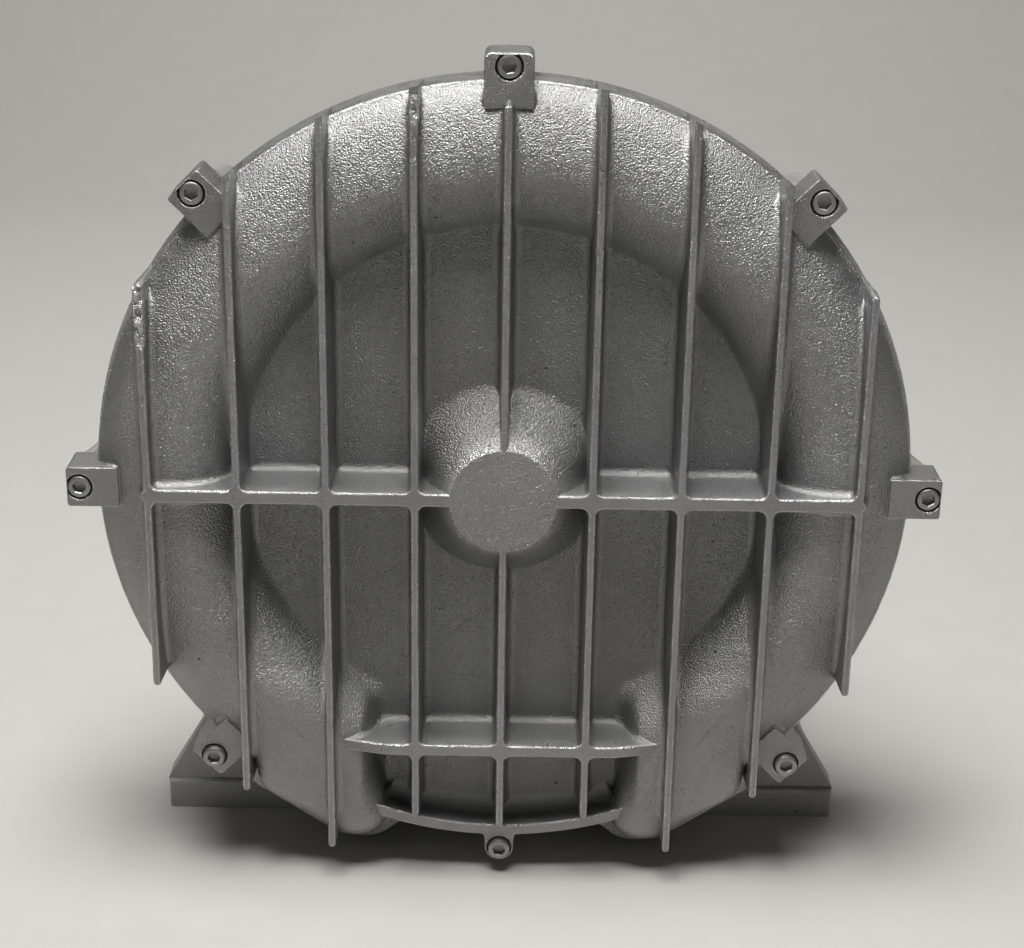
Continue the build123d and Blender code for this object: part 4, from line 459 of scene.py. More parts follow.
def bar_outline(start, end, half_width, pitch=PITCH):
    """Outline of a straight bar with round ends: outline, normals and centre line, point by point.

    Both sides have the same stations, and the ends are half circles, so the centre line closes."""
    start, end = np.array(start, float), np.array(end, float)
    length = np.hypot(*(end - start))
    axis = (end - start) / length
    side = np.array([axis[1], -axis[0]])
    share = np.linspace(0, 1, max(3, int(length / pitch)))[:, None]
    angle = np.radians(np.linspace(0, 180, 11)[1:-1])[:, None]
    centres = np.concatenate([start + (end - start) * share, end + 0 * angle,
                              end + (start - end) * share, start + 0 * angle])
    normals = np.concatenate([side + 0 * share, side * np.cos(angle) + axis * np.sin(angle),
                              -side + 0 * share, -side * np.cos(angle) - axis * np.sin(angle)])
    return centres + normals * half_width, normals, centres


def turned_grid(profile, middle, sides=64, shape=None):
    """Profile of (radius, depth) points carried once round an axis along y through the middle.

    A shape gives, for an angle round the axis, what the radius is multiplied by there."""
    radius, depth = np.array(profile, float).T
    angle = np.linspace(0, 2 * np.pi, sides, endpoint=False)
    reach = radius[:, None] * (np.ones(sides) if shape is None else shape(angle))
    grid = np.stack([middle[0] + reach * np.cos(angle), np.broadcast_to(depth[:, None], reach.shape),
                     middle[1] + reach * np.sin(angle)], -1)
    return grid


def ring_quads(rows, columns):
    """Quads between neighbouring rows of a grid whose last column meets its first."""
    i, j = np.meshgrid(np.arange(rows - 1), np.arange(columns), indexing="ij")
    k = (j + 1) % columns
    corners = [i * columns + j, i * columns + k, (i + 1) * columns + k, (i + 1) * columns + j]
    return np.stack(corners, -1).reshape(-1, 4)


def welded(points, masks, quads):
    """Makes one point of those that agree to WELD, and turns or drops the quads that this folds."""
    keys = np.round(points / WELD).astype(np.int64)
    _, first, place = np.unique(keys, axis=0, return_index=True, return_inverse=True)
    quads = place.ravel()[quads]
    same = quads == np.roll(quads, -1, axis=1)
    folds = same.sum(1)
    four = quads[folds == 0]
    four = four[(four[:, 0] != four[:, 2]) & (four[:, 1] != four[:, 3])]
    three = quads[folds == 1][~same[folds == 1]].reshape(-1, 3)
    points, masks = points[first], masks[first]
    fans = np.concatenate([three, four[:, [0, 1, 2]], four[:, [0, 2, 3]]])
    a, b, c = points[fans[:, 0]], points[fans[:, 1]], points[fans[:, 2]]
    if np.einsum("ij,ij->i", a, np.cross(b, c)).sum() < 0:
        three, four = three[:, ::-1], four[:, ::-1]
    return points, masks, three, four


def build_piece(name, shells, finish, body="casing", stands_for=(), crease=36):
    """One object from closed grids; each point carries how worn and how pebbled its surface is."""
    points, masks, faces, start = [], [], [], 0
    for grid, wear, pebble in shells:
        mask = np.stack([wear.ravel(), pebble.ravel()], -1)
        flat = grid.reshape(-1, 3)
        v, m, three, four = welded(flat - flat.mean(0), mask, ring_quads(*grid.shape[:2]))
        points.append(v + flat.mean(0))
        masks.append(m)
        faces += (three + start).tolist() + (four + start).tolist()
        start += len(v)
    points, masks = np.concatenate(points), np.concatenate(masks)
    mesh = bpy.data.meshes.new(name)
    mesh.from_pydata(row_frame(points), [], faces)
    for key, column in (("wear", 0), ("pebble", 1)):
        layer = mesh.attributes.new(key, "FLOAT", "POINT")
        layer.data.foreach_set("value", np.ascontiguousarray(masks[:, column], np.float32))
    mesh.shade_smooth()
    mesh.set_sharp_from_angle(angle=math.radians(crease))
    mesh.materials.append(finish)
    return place_piece(mesh, body, stands_for)


def place_piece(mesh, body="casing", stands_for=()):
    """Links a mesh as an object that rides on a body and stands for frame nodes, which it hides."""
    piece = bpy.data.objects.new(mesh.name, mesh)
    bpy.context.scene.collection.objects.link(piece)
    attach(piece, body)
    if stands_for:
        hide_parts(*stands_for)
    return piece


# ---------------------------------------------------------------- node groups
class Nodes:
    """Short way to add shader nodes: inputs are values or sockets, by name or number."""

    def __init__(self, tree):
        self.tree = tree

    def fill(self, node, inputs):
        """Sets or joins a node's inputs, and gives the node back."""
        for key, value in inputs.items():
            if isinstance(value, bpy.types.NodeSocket):
                self.tree.links.new(value, node.inputs[key])
            else:
                node.inputs[key].default_value = value
        return node

    def add(self, kind, inputs=(), **settings):
        """A new node of a kind, with its settings and inputs."""
        node = self.tree.nodes.new("ShaderNode" + kind)
        for key, value in settings.items():
            setattr(node, key, value)
        return self.fill(node, dict(inputs))

    def maths(self, operation, a, b=0.0):
        """Result of a maths operation."""
        return self.add("Math", {0: a, 1: b}, operation=operation).outputs[0]

    def times(self, a, b):
        """a * b"""
        return self.maths("MULTIPLY", a, b)

    def plus(self, a, b, factor=None):
        """a + b, or a + b * factor"""
        return self.maths("ADD", a, b if factor is None else self.times(b, factor))

    def spread(self, value, low, high, to_low=0.0, to_high=1.0):
        """The range from low to high carried over to another, and held at its ends."""
        node = self.add("MapRange", {"Value": value, "From Min": low, "From Max": high,
                                     "To Min": to_low, "To Max": to_high})
        return node.outputs["Result"]

    def noise(self, vector, scale, detail=2.0, rough=0.5):
        """Noise from 0 to 1."""
        inputs = {"Vector": vector, "Scale": scale, "Detail": detail, "Roughness": rough}
        return self.add("TexNoise", inputs).outputs["Fac"]

    def tint(self, share, first, second):
        """Mix of two colours."""
        return self.add("Mix", {0: share, 6: first, 7: second}, data_type="RGBA").outputs[2]

    def toned(self, colour, tone):
        """A colour made lighter or darker by a tone."""
        return self.add("VectorMath", {0: tuple(colour), "Scale": tone}, operation="SCALE").outputs[0]

    def mask(self, name):
        """A piece's mask of that name."""
        return self.add("Attribute", attribute_name=name).outputs["Fac"]

    def bump(self, height, strength, relief):
        """Normal of a surface that rises by up to relief metres."""
        return self.add("Bump", {"Height": height, "Strength": strength, "Distance": relief}).outputs[0]


def group(name, inputs, outputs, build):
    """A shader node group with those named float inputs and outputs, built once."""
    if name in bpy.data.node_groups:
        return bpy.data.node_groups[name]
    tree = bpy.data.node_groups.new(name, "ShaderNodeTree")
    for label, default in inputs.items():
        socket = tree.interface.new_socket(label, in_out="INPUT", socket_type="NodeSocketFloat")
        socket.default_value = default
    for label in outputs:
        tree.interface.new_socket(label, in_out="OUTPUT", socket_type="NodeSocketFloat")
    entry, leave = tree.nodes.new("NodeGroupInput"), tree.nodes.new("NodeGroupOutput")
    for label, socket in build(Nodes(tree), entry.outputs).items():
        tree.links.new(socket, leave.inputs[label])
    return tree


def object_place(nodes):
    """Object coordinates: metres in the row frame."""
    return nodes.add("TexCoord").outputs["Object"]


def cast_grain(nodes, given):
    """Pebbled skin of a blasted casting: rounded blobs, fine grit, slow change of tone and polish, and
    painted glints, which are fine light and dark specks in the tone standing in for the skin's sparkle.
    """
    place = object_place(nodes)
    push = nodes.add("TexNoise", {"Vector": place, "Scale": PUSH_SCALE, "Detail": 1.0}).outputs["Color"]
    warped = nodes.add("VectorMath", {0: push, 1: (PUSH_REACH,) * 3, 2: place},
                       operation="MULTIPLY_ADD").outputs[0]
    blobs = nodes.add("TexVoronoi", {"Vector": warped, "Scale": given["Blobs per metre"], "Smoothness": 0.6},
                      feature="SMOOTH_F1").outputs["Distance"]
    patch = nodes.spread(nodes.noise(place, PATCH_SCALE, 3.0, 0.6), 0.35, 0.6)
    grit = nodes.noise(place, GRIT_SCALE, 2.0, 0.6)
    hollow = nodes.times(nodes.times(blobs, given["Pebble"]), nodes.spread(patch, 0.0, 1.0, 0.8, 1.0))
    height = nodes.maths("SUBTRACT", nodes.times(grit, given["Grit"]), hollow)
    cloud = nodes.noise(place, CLOUD_SCALE, 4.0, 0.6)
    speck = nodes.spread(nodes.noise(place, SPECK_SCALE, 2.0, 0.7), 0.56, 0.72)
    tone = nodes.plus(nodes.spread(cloud, 0.3, 0.7, 0.88, 1.08), speck, -0.12)
    # Painted glints: fine specks, lighter and darker, put into the colour's tone as the sparkle of the
    # blasted skin, weighted by the pebble mask
    glint = nodes.spread(nodes.noise(place, GLINT_SCALE, 1.0, 0.5), 0.32, 0.68, -0.2, 0.24)
    tone = nodes.plus(tone, glint, given["Pebble"])
    polish = nodes.spread(nodes.noise(place, POLISH_SCALE, 3.0, 0.6), 0.3, 0.7, -0.06, 0.07)
    return {"Height": height, "Tone": tone, "Polish": nodes.plus(polish, speck, -0.1)}


def edge_wear(nodes, given):
    """Rubbed edges: the given mask, broken up along its length by two sizes of noise."""
    place = object_place(nodes)
    coarse = nodes.spread(nodes.noise(place, COARSE_WEAR_SCALE, 3.0, 0.7), 0.35, 0.62)
    fine = nodes.spread(nodes.noise(place, FINE_WEAR_SCALE, 2.0, 0.6), 0.3, 0.65, 0.45, 1.0)
    mask = nodes.times(nodes.times(given["Mask"], fine), nodes.spread(coarse, 0.0, 1.0, 0.3, 1.0))
    return {"Worn": nodes.maths("MINIMUM", nodes.times(mask, given["Amount"]), 1.0)}


def grime(nodes, given):
    """Dirt: cloudy stains that thicken towards the ground, and small dark pits."""
    place = object_place(nodes)
    height = nodes.add("SeparateXYZ", {0: place}).outputs["Z"]
    low = nodes.spread(height, *STAIN_HEIGHTS, 1.0, 0.0)
    cloud = nodes.spread(nodes.noise(place, STAIN_SCALE, 5.0, 0.65), 0.45, 0.75)
    pits = nodes.add("TexVoronoi", {"Vector": place, "Scale": PIT_SCALE}).outputs["Distance"]
    pit = nodes.times(nodes.spread(pits, 0.05, 0.09, 1.0, 0.0),
                      nodes.spread(nodes.noise(place, PIT_PATCH_SCALE, 1.0), 0.55, 0.6))
    stain = nodes.times(nodes.plus(cloud, low, 0.5), given["Amount"])
    return {"Stain": nodes.maths("MINIMUM", stain, 1.0), "Pit": pit}


def turned_marks(nodes, given):
    """Rings left by a lathe: a wave of the distance from the shaft, roughened by noise."""
    place = object_place(nodes)
    part = nodes.add("SeparateXYZ", {0: place})
    up = nodes.maths("SUBTRACT", part.outputs["Z"], SHAFT_HEIGHT * MM)
    square = nodes.plus(nodes.maths("POWER", part.outputs["X"], 2.0), nodes.maths("POWER", up, 2.0))
    wave = nodes.maths("SINE", nodes.times(nodes.maths("SQRT", square), given["Rings per metre"]))
    jitter = nodes.noise(place, 900.0, 3.0, 0.7)
    return {"Height": nodes.plus(wave, jitter), "Tone": nodes.spread(jitter, 0.3, 0.7, 0.9, 1.08)}


def stacked_sheets(nodes, given):
    """Edges of a stack of thin sheets: a saw wave along the shaft, with the sheets' tones uneven."""
    part = nodes.add("SeparateXYZ", {0: object_place(nodes)})
    turn = nodes.times(part.outputs["Y"], given["Sheets per metre"])
    edge = nodes.maths("PINGPONG", turn, 0.5)
    tone = nodes.noise(nodes.add("CombineXYZ", {1: turn}).outputs[0], 1.0, 0.0)
    return {"Height": nodes.spread(edge, 0.0, 0.15), "Tone": nodes.spread(tone, 0.3, 0.7, 0.8, 1.1)}


def fine_grain(nodes, given):
    """Moulded or drawn surface: fine noise for height, broad noise for tone."""
    place = object_place(nodes)
    return {"Height": nodes.noise(place, given["Grains per metre"], 3.0, 0.6),
            "Tone": nodes.spread(nodes.noise(place, 35.0, 3.0, 0.6), 0.3, 0.7, 0.88, 1.1)}


GROUPS = {
    "Cast grain": (cast_grain, {"Blobs per metre": 1250.0, "Pebble": 1.0, "Grit": 0.2},
                   ["Height", "Tone", "Polish"]),
    "Edge wear": (edge_wear, {"Mask": 0.0, "Amount": 1.0}, ["Worn"]),
    "Grime": (grime, {"Amount": 0.3}, ["Stain", "Pit"]),
    "Turned marks": (turned_marks, {"Rings per metre": 9000.0}, ["Height", "Tone"]),
    "Stacked sheets": (stacked_sheets, {"Sheets per metre": 1000.0}, ["Height", "Tone"]),
    "Fine grain": (fine_grain, {"Grains per metre": 1200.0}, ["Height", "Tone"]),
}


def placed_group(nodes, name, **values):
    """Places a node group in a material with its own values."""
    build, inputs, outputs = GROUPS[name]
    node = nodes.add("Group", node_tree=group(name, inputs, outputs, build))
    return nodes.fill(node, spaced(values)).outputs


def spaced(values):
    """Values by the name of their socket, with spaces for _."""
    return {label.replace("_", " "): value for label, value in values.items()}


# ---------------------------------------------------------------- finishes
def new_finish(name):
    """An empty material with its Principled shader and output."""
    material = bpy.data.materials.new(name + "_finish")
    material.use_nodes = True
    material.node_tree.nodes.clear()
    nodes = Nodes(material.node_tree)
    shader = nodes.add("BsdfPrincipled")
    nodes.add("OutputMaterial", {0: shader.outputs[0]})
    return material, nodes, shader


def shade(colour, factor=1.0):
    """A colour with its alpha, made lighter or darker."""
    return (*(min(1.0, c * factor) for c in colour[:3]), 1.0)


def casting_finish(name, colour, worn_colour, stain_colour, roughness, pebble, grit, bump, stain, metallic):
    """Cast aluminium: pebbled or plain skin, rubbed edges, stains and pits."""
    nodes, shader = new_finish(name)[1:]
    wear_mask = nodes.mask("wear")
    amount = nodes.times(nodes.mask("pebble"), pebble) if pebble else 0.25
    grain = placed_group(nodes, "Cast grain", Pebble=amount, Grit=grit)
    worn = placed_group(nodes, "Edge wear", Mask=wear_mask, Amount=1.1)["Worn"]
    dirt = placed_group(nodes, "Grime", Amount=stain)
    # The grain's tone holds random tone and also painted glints, which stand in for the skin's sparkle
    stained = nodes.tint(dirt["Stain"], nodes.toned(colour, grain["Tone"]), shade(stain_colour))
    pitted = nodes.tint(dirt["Pit"], stained, shade(colour, 0.35))
    finished = nodes.tint(worn, pitted, shade(worn_colour))
    rough = nodes.plus(nodes.plus(grain["Polish"], roughness), worn, -0.12)
    rough = nodes.plus(rough, dirt["Stain"], 0.12)
    relief = nodes.plus(grain["Height"], dirt["Pit"], -0.6)
    nodes.fill(shader, {"Base Color": finished, "Metallic": metallic, "Roughness": rough,
                        "Normal": nodes.bump(relief, bump, CAST_RELIEF)})


def plain_finish(name, kind, colour, metallic, roughness, bump, values):
    """A finish whose height and tone come from one node group of that kind."""
    nodes, shader = new_finish(name)[1:]
    grain = placed_group(nodes, kind, **values)
    dirt = placed_group(nodes, "Grime", Amount=0.12)
    finished = nodes.tint(dirt["Stain"], nodes.toned(colour, grain["Tone"]), shade(colour, 0.55))
    rough = nodes.plus(roughness - 0.15, grain["Tone"], 0.15)
    nodes.fill(shader, {"Base Color": finished, "Metallic": metallic, "Roughness": rough,
                        "Normal": nodes.bump(grain["Height"], bump, PLAIN_RELIEF)})


def floor_finish(colour):
    """Plain pale floor with a trace of unevenness."""
    material, nodes, shader = new_finish("pale_floor")
    grain = placed_group(nodes, "Fine grain", Grains_per_metre=400.0)
    tone = nodes.spread(grain["Tone"], 0.88, 1.1, 0.97, 1.0)
    nodes.fill(shader, {"Base Color": nodes.toned(colour, tone), "Roughness": 0.6,
                        "Normal": nodes.bump(grain["Height"], 0.03, FLOOR_RELIEF)})
    return material


CASTINGS = {
    "cast_silver": dict(roughness=0.35, pebble=1.0, grit=0.75, bump=1.0, stain=0.16, metallic=0.92),
    "housing_silver": dict(roughness=0.46, pebble=0.0, grit=0.9, bump=0.9, stain=0.3, metallic=0.85),
}

# kind, metallic, roughness, bump and values of the group, by material slot
PLAIN_FINISHES = {
    "machined_aluminium": ("Turned marks", 0.95, 0.32, 0.12, {"Rings_per_metre": 9000.0}),
    "steel": ("Turned marks", 1.0, 0.26, 0.08, {"Rings_per_metre": 16000.0}),
    "screw_steel": ("Fine grain", 0.9, 0.42, 0.25, {"Grains_per_metre": 2600.0}),
    "sheet_steel": ("Fine grain", 0.35, 0.42, 0.12, {"Grains_per_metre": 900.0}),
    "lamination": ("Stacked sheets", 0.8, 0.5, 0.6, {"Sheets_per_metre": 900.0}),
    "copper": ("Stacked sheets", 0.7, 0.3, 0.8, {"Sheets_per_metre": 700.0}),
    "brass": ("Fine grain", 0.95, 0.3, 0.12, {"Grains_per_metre": 1500.0}),
    "rubber": ("Fine grain", 0.0, 0.62, 0.2, {"Grains_per_metre": 1800.0}),
    "gasket": ("Fine grain", 0.0, 0.8, 0.4, {"Grains_per_metre": 1300.0}),
    "black_plastic": ("Fine grain", 0.0, 0.48, 0.3, {"Grains_per_metre": 2200.0}),
    "board_plastic": ("Fine grain", 0.0, 0.4, 0.15, {"Grains_per_metre": 900.0}),
    "foam": ("Cast grain", 0.0, 0.95, 1.0, {"Pebble": 1.0, "Blobs_per_metre": 700.0}),
}


# ---------------------------------------------------------------- sizes and colours to change
def size(label, words, value):
    """A length property in metres."""
    return FloatProperty(name=label, description=words, default=value * MM, min=0.0, unit="LENGTH")


def power(label, words, value):
    """A light's power in watts."""
    return FloatProperty(name=label, description=words, default=value, min=0.0, unit="POWER")


def tint_property(label, words, value):
    """A colour property."""
    return FloatVectorProperty(name=label, description=words, default=value, size=3, min=0.0, max=1.0,
                               subtype="COLOR")


class CoverSizes(PropertyGroup):
    """Sizes of the ribbed cover."""

    rim_radius: size("Rim radius", "Outer radius of the cover's flange", RIM_R)
    rib_width: size("Rib width", "Width of an upright rib at its front", 3.4)
    rib_edge: size("Rib edge radius", "Rounding of the ribs' front edges", 1.05)
    hub_edge: size("Hub edge radius", "Rounding of the hub's front edge", 1.2)
    crossing_radius: size("Crossing radius", "Rounding in plan where ribs cross", 3.3)
    lug_width: size("Lug width", "Width of a screw lug", 18.0)
    top_lug_width: size("Top lug width", "Width of the lug at the top", 20.5)
    lug_corner: size("Lug corner radius", "Rounding of a lug's outer corners", 1.4)
    head_radius: size("Screw head radius", "Radius of the cover screws' heads", 5.0)
    head_height: size("Screw head height", "Height of the cover screws' heads", 6.0)
    key_width: size("Key width", "Hexagon socket of the cover screws, across flats", 5.0)


class BlowerColours(PropertyGroup):
    """Colours of the finishes."""

    cover: tint_property("Cover casting", "Bare face of the cover", (0.33, 0.335, 0.34))
    housing: tint_property("Housing casting", "Housing, motor frame and silencers", (0.46, 0.465, 0.47))
    worn: tint_property("Worn edge", "Rubbed metal on edges", (0.62, 0.615, 0.6))
    stain: tint_property("Stain", "Dirt on the castings", (0.19, 0.175, 0.15))
    machined_aluminium: tint_property("Machined aluminium", "Impeller", (0.7, 0.71, 0.72))
    steel: tint_property("Ground steel", "Shaft, rings and balls", (0.6, 0.6, 0.61))
    screw_steel: tint_property("Plated screws", "Screws and bolts", (0.33, 0.33, 0.33))
    sheet_steel: tint_property("Painted sheet", "Fan cowl", (0.36, 0.36, 0.355))
    lamination: tint_property("Laminations", "Rotor and stator stacks", (0.3, 0.3, 0.31))
    copper: tint_property("Windings", "Enamelled copper", (0.6, 0.24, 0.1))
    brass: tint_property("Brass", "Studs, links and bearing cages", (0.72, 0.53, 0.24))
    rubber: tint_property("Rubber", "Seals", (0.03, 0.03, 0.03))
    gasket: tint_property("Gasket sheet", "Flat gaskets", (0.16, 0.16, 0.15))
    black_plastic: tint_property("Black plastic", "Fan, gland and plug", (0.035, 0.035, 0.036))
    board_plastic: tint_property("Terminal board", "Moulded phenolic", (0.26, 0.1, 0.06))
    foam: tint_property("Foam", "Silencer lining", (0.1, 0.1, 0.1))
    floor: tint_property("Floor", "Plain pale floor and backdrop", (0.47, 0.465, 0.45))


class StageSizes(PropertyGroup):
    """Lights and camera of the stage."""

    lens: FloatProperty(name="Lens", description="Focal length for a 36 mm sensor", default=72.07,
                        unit="CAMERA", min=10.0)
    key_power: power("Key light", "Power of the light overhead", 46.0)
    fill_power: power("Fill light", "Power of the light in front", 0.7)
    back_power: power("Back light", "Power of the light on the backdrop", 16.0)
    sky: FloatProperty(name="Sky", description="Strength of the even grey light around", default=0.08,
                       min=0.0)


def cover_sizes():
    """The cover's sizes in millimetres, by name."""
    sizes = bpy.context.scene.blower_cover
    return {name: getattr(sizes, name) / MM for name in CoverSizes.__annotations__}


# ---------------------------------------------------------------- operators
def finish_of(slot):
    """The finish made for a material slot."""
    return bpy.data.materials[slot + "_finish"]


class BLOWER_OT_finishes(Operator):
    """Make every finish and give each frame node the finish of its material slot"""

    bl_idname = "blower.finishes"
    bl_label = "Finishes"

    def execute(self, context):
        colours = context.scene.blower_colours
        for (slot, values), colour in zip(CASTINGS.items(), (colours.cover, colours.housing)):
            casting_finish(slot, colour, colours.worn, colours.stain, **values)
        for slot, (kind, metallic, roughness, bump, values) in PLAIN_FINISHES.items():
            plain_finish(slot, kind, getattr(colours, slot), metallic, roughness, bump, values)
        for part in frame["record"]["subparts"]:
            node = frame["nodes"][part["node"]]
            node.data.materials.clear()
            node.data.materials.append(finish_of(part["material_slot"]))
        return {"FINISHED"}


class BLOWER_OT_cover_shell(Operator):
    """Build the cover's skin: panel, side channel and flange"""

    bl_idname = "blower.cover_shell"
    bl_label = "Cover shell"

    def execute(self, context):
        far = cover_sizes()["rim_radius"]
        angle = np.linspace(0, 2 * np.pi, SHELL_SIDES, endpoint=False)
        rim = rim_radius(RIM_STEP_R * np.cos(angle), RIM_STEP_R * np.sin(angle), far)
        front = np.concatenate([np.linspace(0, 108, 10), np.linspace(111, 122, 12), np.linspace(124, 166, 20),
                                np.linspace(167.5, far - RIM_EDGE_R, 12)]) / (far - RIM_EDGE_R)
        radii = [share * (rim - RIM_EDGE_R) for share in front]
        depths = [shell_depth(r * np.cos(angle), r * np.sin(angle)) for r in radii]
        for turn in np.radians([22.5, 45, 67.5, 90]):
            radii.append(rim - RIM_EDGE_R + RIM_EDGE_R * np.sin(turn))
            depths.append(depths[len(front) - 1] + RIM_EDGE_R * (1 - np.cos(turn)))
        edge = depths[-1]
        for level in (0.5, 1.0):
            radii.append(rim)
            depths.append(edge + (PARTING_Y - edge) * level)
        for share in np.concatenate([np.linspace(175, 113, 26), np.linspace(100, 0, 4)]) / far:
            radii.append(share * rim)
            depths.append(shell_back(radii[-1] * np.cos(angle), radii[-1] * np.sin(angle)))
        radii, depths = np.array(radii), np.array(depths)
        grid = np.stack([radii * np.cos(angle), depths, radii * np.sin(angle)], -1)
        wear = np.zeros(radii.shape)
        wear[len(front):len(front) + 3] = 1.0
        shells = [(grid, wear, skin_pebble(grid[..., 0], grid[..., 2]))]
        build_piece("cover_shell", shells, finish_of("cast_silver"),
                    stands_for=["front_cover"])
        return {"FINISHED"}


def rib_front(x, z):
    """Front of the ribs, with the dents knocked into a few of them: bell curves of the distance."""
    depth = np.full(np.shape(x), RIB_FRONT_Y) + 0.12 * (1 + lumps(x, z, 45, 4))
    for dent_x, dent_z, reach, deep in DENTS:
        depth = depth + deep * np.exp(-((x - dent_x) ** 2 + (z - dent_z) ** 2) / reach ** 2)
    return depth


def set_back(shift):
    """The ribs' front moved back by shift, so that no two fronts share a plane."""
    return lambda x, z: rib_front(x, z) + shift


def chipped(grid, wear, k):
    """Rib k with ragged bites out of its front between two heights, and its sides roughened there.

    A bite is as deep as half plus 1.2 times two waves along the rib, between 0 and 1.5 times the rib's
    own depth of bite, and dies out over 4 mm at the range's ends and behind the front."""
    across, deep, up = np.moveaxis(grid, -1, 0)
    low, high, bite = CHIPPED[k]
    span = smooth_step(low - 2, low + 2, up) * smooth_step(high + 2, high - 2, up)
    span = span * smooth_step(*(RIB_FRONT_Y + reach for reach in CHIP_REACH), deep)
    ragged = lumps(across * 1.5, up, 5.5, 40 + k) + 0.7 * lumps(across, up, 2.6, 50 + k)
    grid[..., 1] += span * bite * np.clip(0.5 + 1.2 * ragged, 0, 1.5)
    grid[..., 0] += span * 0.35 * lumps(deep, up, 3.5, 60 + k) + span * 0.25 * (across - k * RIB_PITCH)
    return grid, np.maximum(wear, 1.2 * span)


class BLOWER_OT_cover_ribs(Operator):
    """Build the upright ribs, the two cross ribs, the hub and the rounding where ribs cross"""

    bl_idname = "blower.cover_ribs"
    bl_label = "Cover ribs and hub"

    def execute(self, context):
        sizes = cover_sizes()
        finish = finish_of("cast_silver")
        half, edge_r = sizes["rib_width"] / 2, sizes["rib_edge"]
        ribs = range(-RIB_PAIRS, RIB_PAIRS + 1)
        shells = []
        for k in ribs:
            x = k * RIB_PITCH
            top_r, low = RIB_ENDS[abs(k)]
            top = math.sqrt(top_r ** 2 - x * x)
            outline, normals, centre = bar_outline((x, low + half), (x, top - half), half,
                                                   FINE_PITCH if k in CHIPPED else PITCH)
            grid, wear, pebble = raised_form(outline, normals, centre, rib_front, skin_depth, edge_r,
                                             RIB_DRAFT, RIB_FOOT_R, inner=2, pebble=0.5)
            reach = RIB_REACH[0] - RIB_REACH[1] * (grid[..., 1] - RIB_FRONT_Y)
            grid[..., 2] = np.minimum(grid[..., 2], np.sqrt(reach ** 2 - grid[..., 0] ** 2))
            if k in CHIPPED:
                grid, wear = chipped(grid, wear, k)
            shells.append((grid, wear, pebble))
        build_piece("cover_ribs", shells, finish)

        cross_front, hub_front, cove_front = set_back(0.03), set_back(-0.05), set_back(-0.02)
        reach = RIB_PAIRS * RIB_PITCH
        low_z, low_width, low_reach = LOWER_RIB
        drop, drop_start = LOWER_RIB_DROP

        def low_front(x, z):
            return cross_front(x, z) + drop * smooth_step(drop_start, low_reach + 2, np.abs(x))

        shells = []
        for ends, width, ridge in ((((-reach, 0), (reach, 0)), CROSS_RIB_WIDTH, cross_front),
                                   (((-low_reach, low_z), (low_reach, low_z)), low_width, low_front)):
            outline, normals, centre = bar_outline(*ends, width / 2)
            shells.append(raised_form(outline, normals, centre, ridge, skin_depth, edge_r, RIB_DRAFT,
                                      RIB_FOOT_R, inner=2, pebble=0.3))
        angle = np.linspace(0, 2 * np.pi, 160, endpoint=False)
        normals = np.stack([np.cos(angle), np.sin(angle)], -1)
        face_r, base_r = HUB_RADII
        cone = math.atan((base_r - face_r) / (PANEL_Y - RIB_FRONT_Y))
        grid, wear, pebble = raised_form(face_r * normals, normals, (0, 0), hub_front, shell_depth,
                                         sizes["hub_edge"], cone, HUB_FOOT_R, inner=10, pebble=1.1)
        grid[..., 0] = np.clip(grid[..., 0], -RIB_PITCH, RIB_PITCH)
        shells.append((grid, wear, pebble))
        build_piece("cover_cross_ribs", shells, finish)

        shells = []
        radius = sizes["crossing_radius"]
        turn = np.radians(np.linspace(0, 90, 9))[:, None]
        places = [(k * RIB_PITCH, 0.0, CROSS_RIB_WIDTH / 2) for k in ribs if k]
        places += [(k * RIB_PITCH, low_z, low_width / 2) for k in (-1, 0, 1)]
        for x, z, half_height in places:
            for side_x in (-1, 1):
                if abs(x) > (RIB_PAIRS - 0.5) * RIB_PITCH and side_x * x > 0:
                    continue
                for side_z in (-1, 1):
                    side = np.array([side_x, side_z])
                    corner = np.array([x + side_x * half, z + side_z * half_height])
                    normals = side * np.hstack([np.cos(turn), np.sin(turn)])
                    arc = corner + side * radius - radius * normals
                    buried = corner - side * COVE_BURY
                    outline = np.vstack([buried, [buried[0], arc[0, 1]], arc, [arc[-1, 0], buried[1]]])
                    normals = np.vstack([0 * side, 0 * side, normals, 0 * side])
                    shells.append(raised_form(outline, normals, buried, cove_front, skin_depth, edge_r,
                                              RIB_DRAFT, RIB_FOOT_R, inner=2, pebble=0.3))
        build_piece("cover_rib_coves", shells, finish)
        return {"FINISHED"}


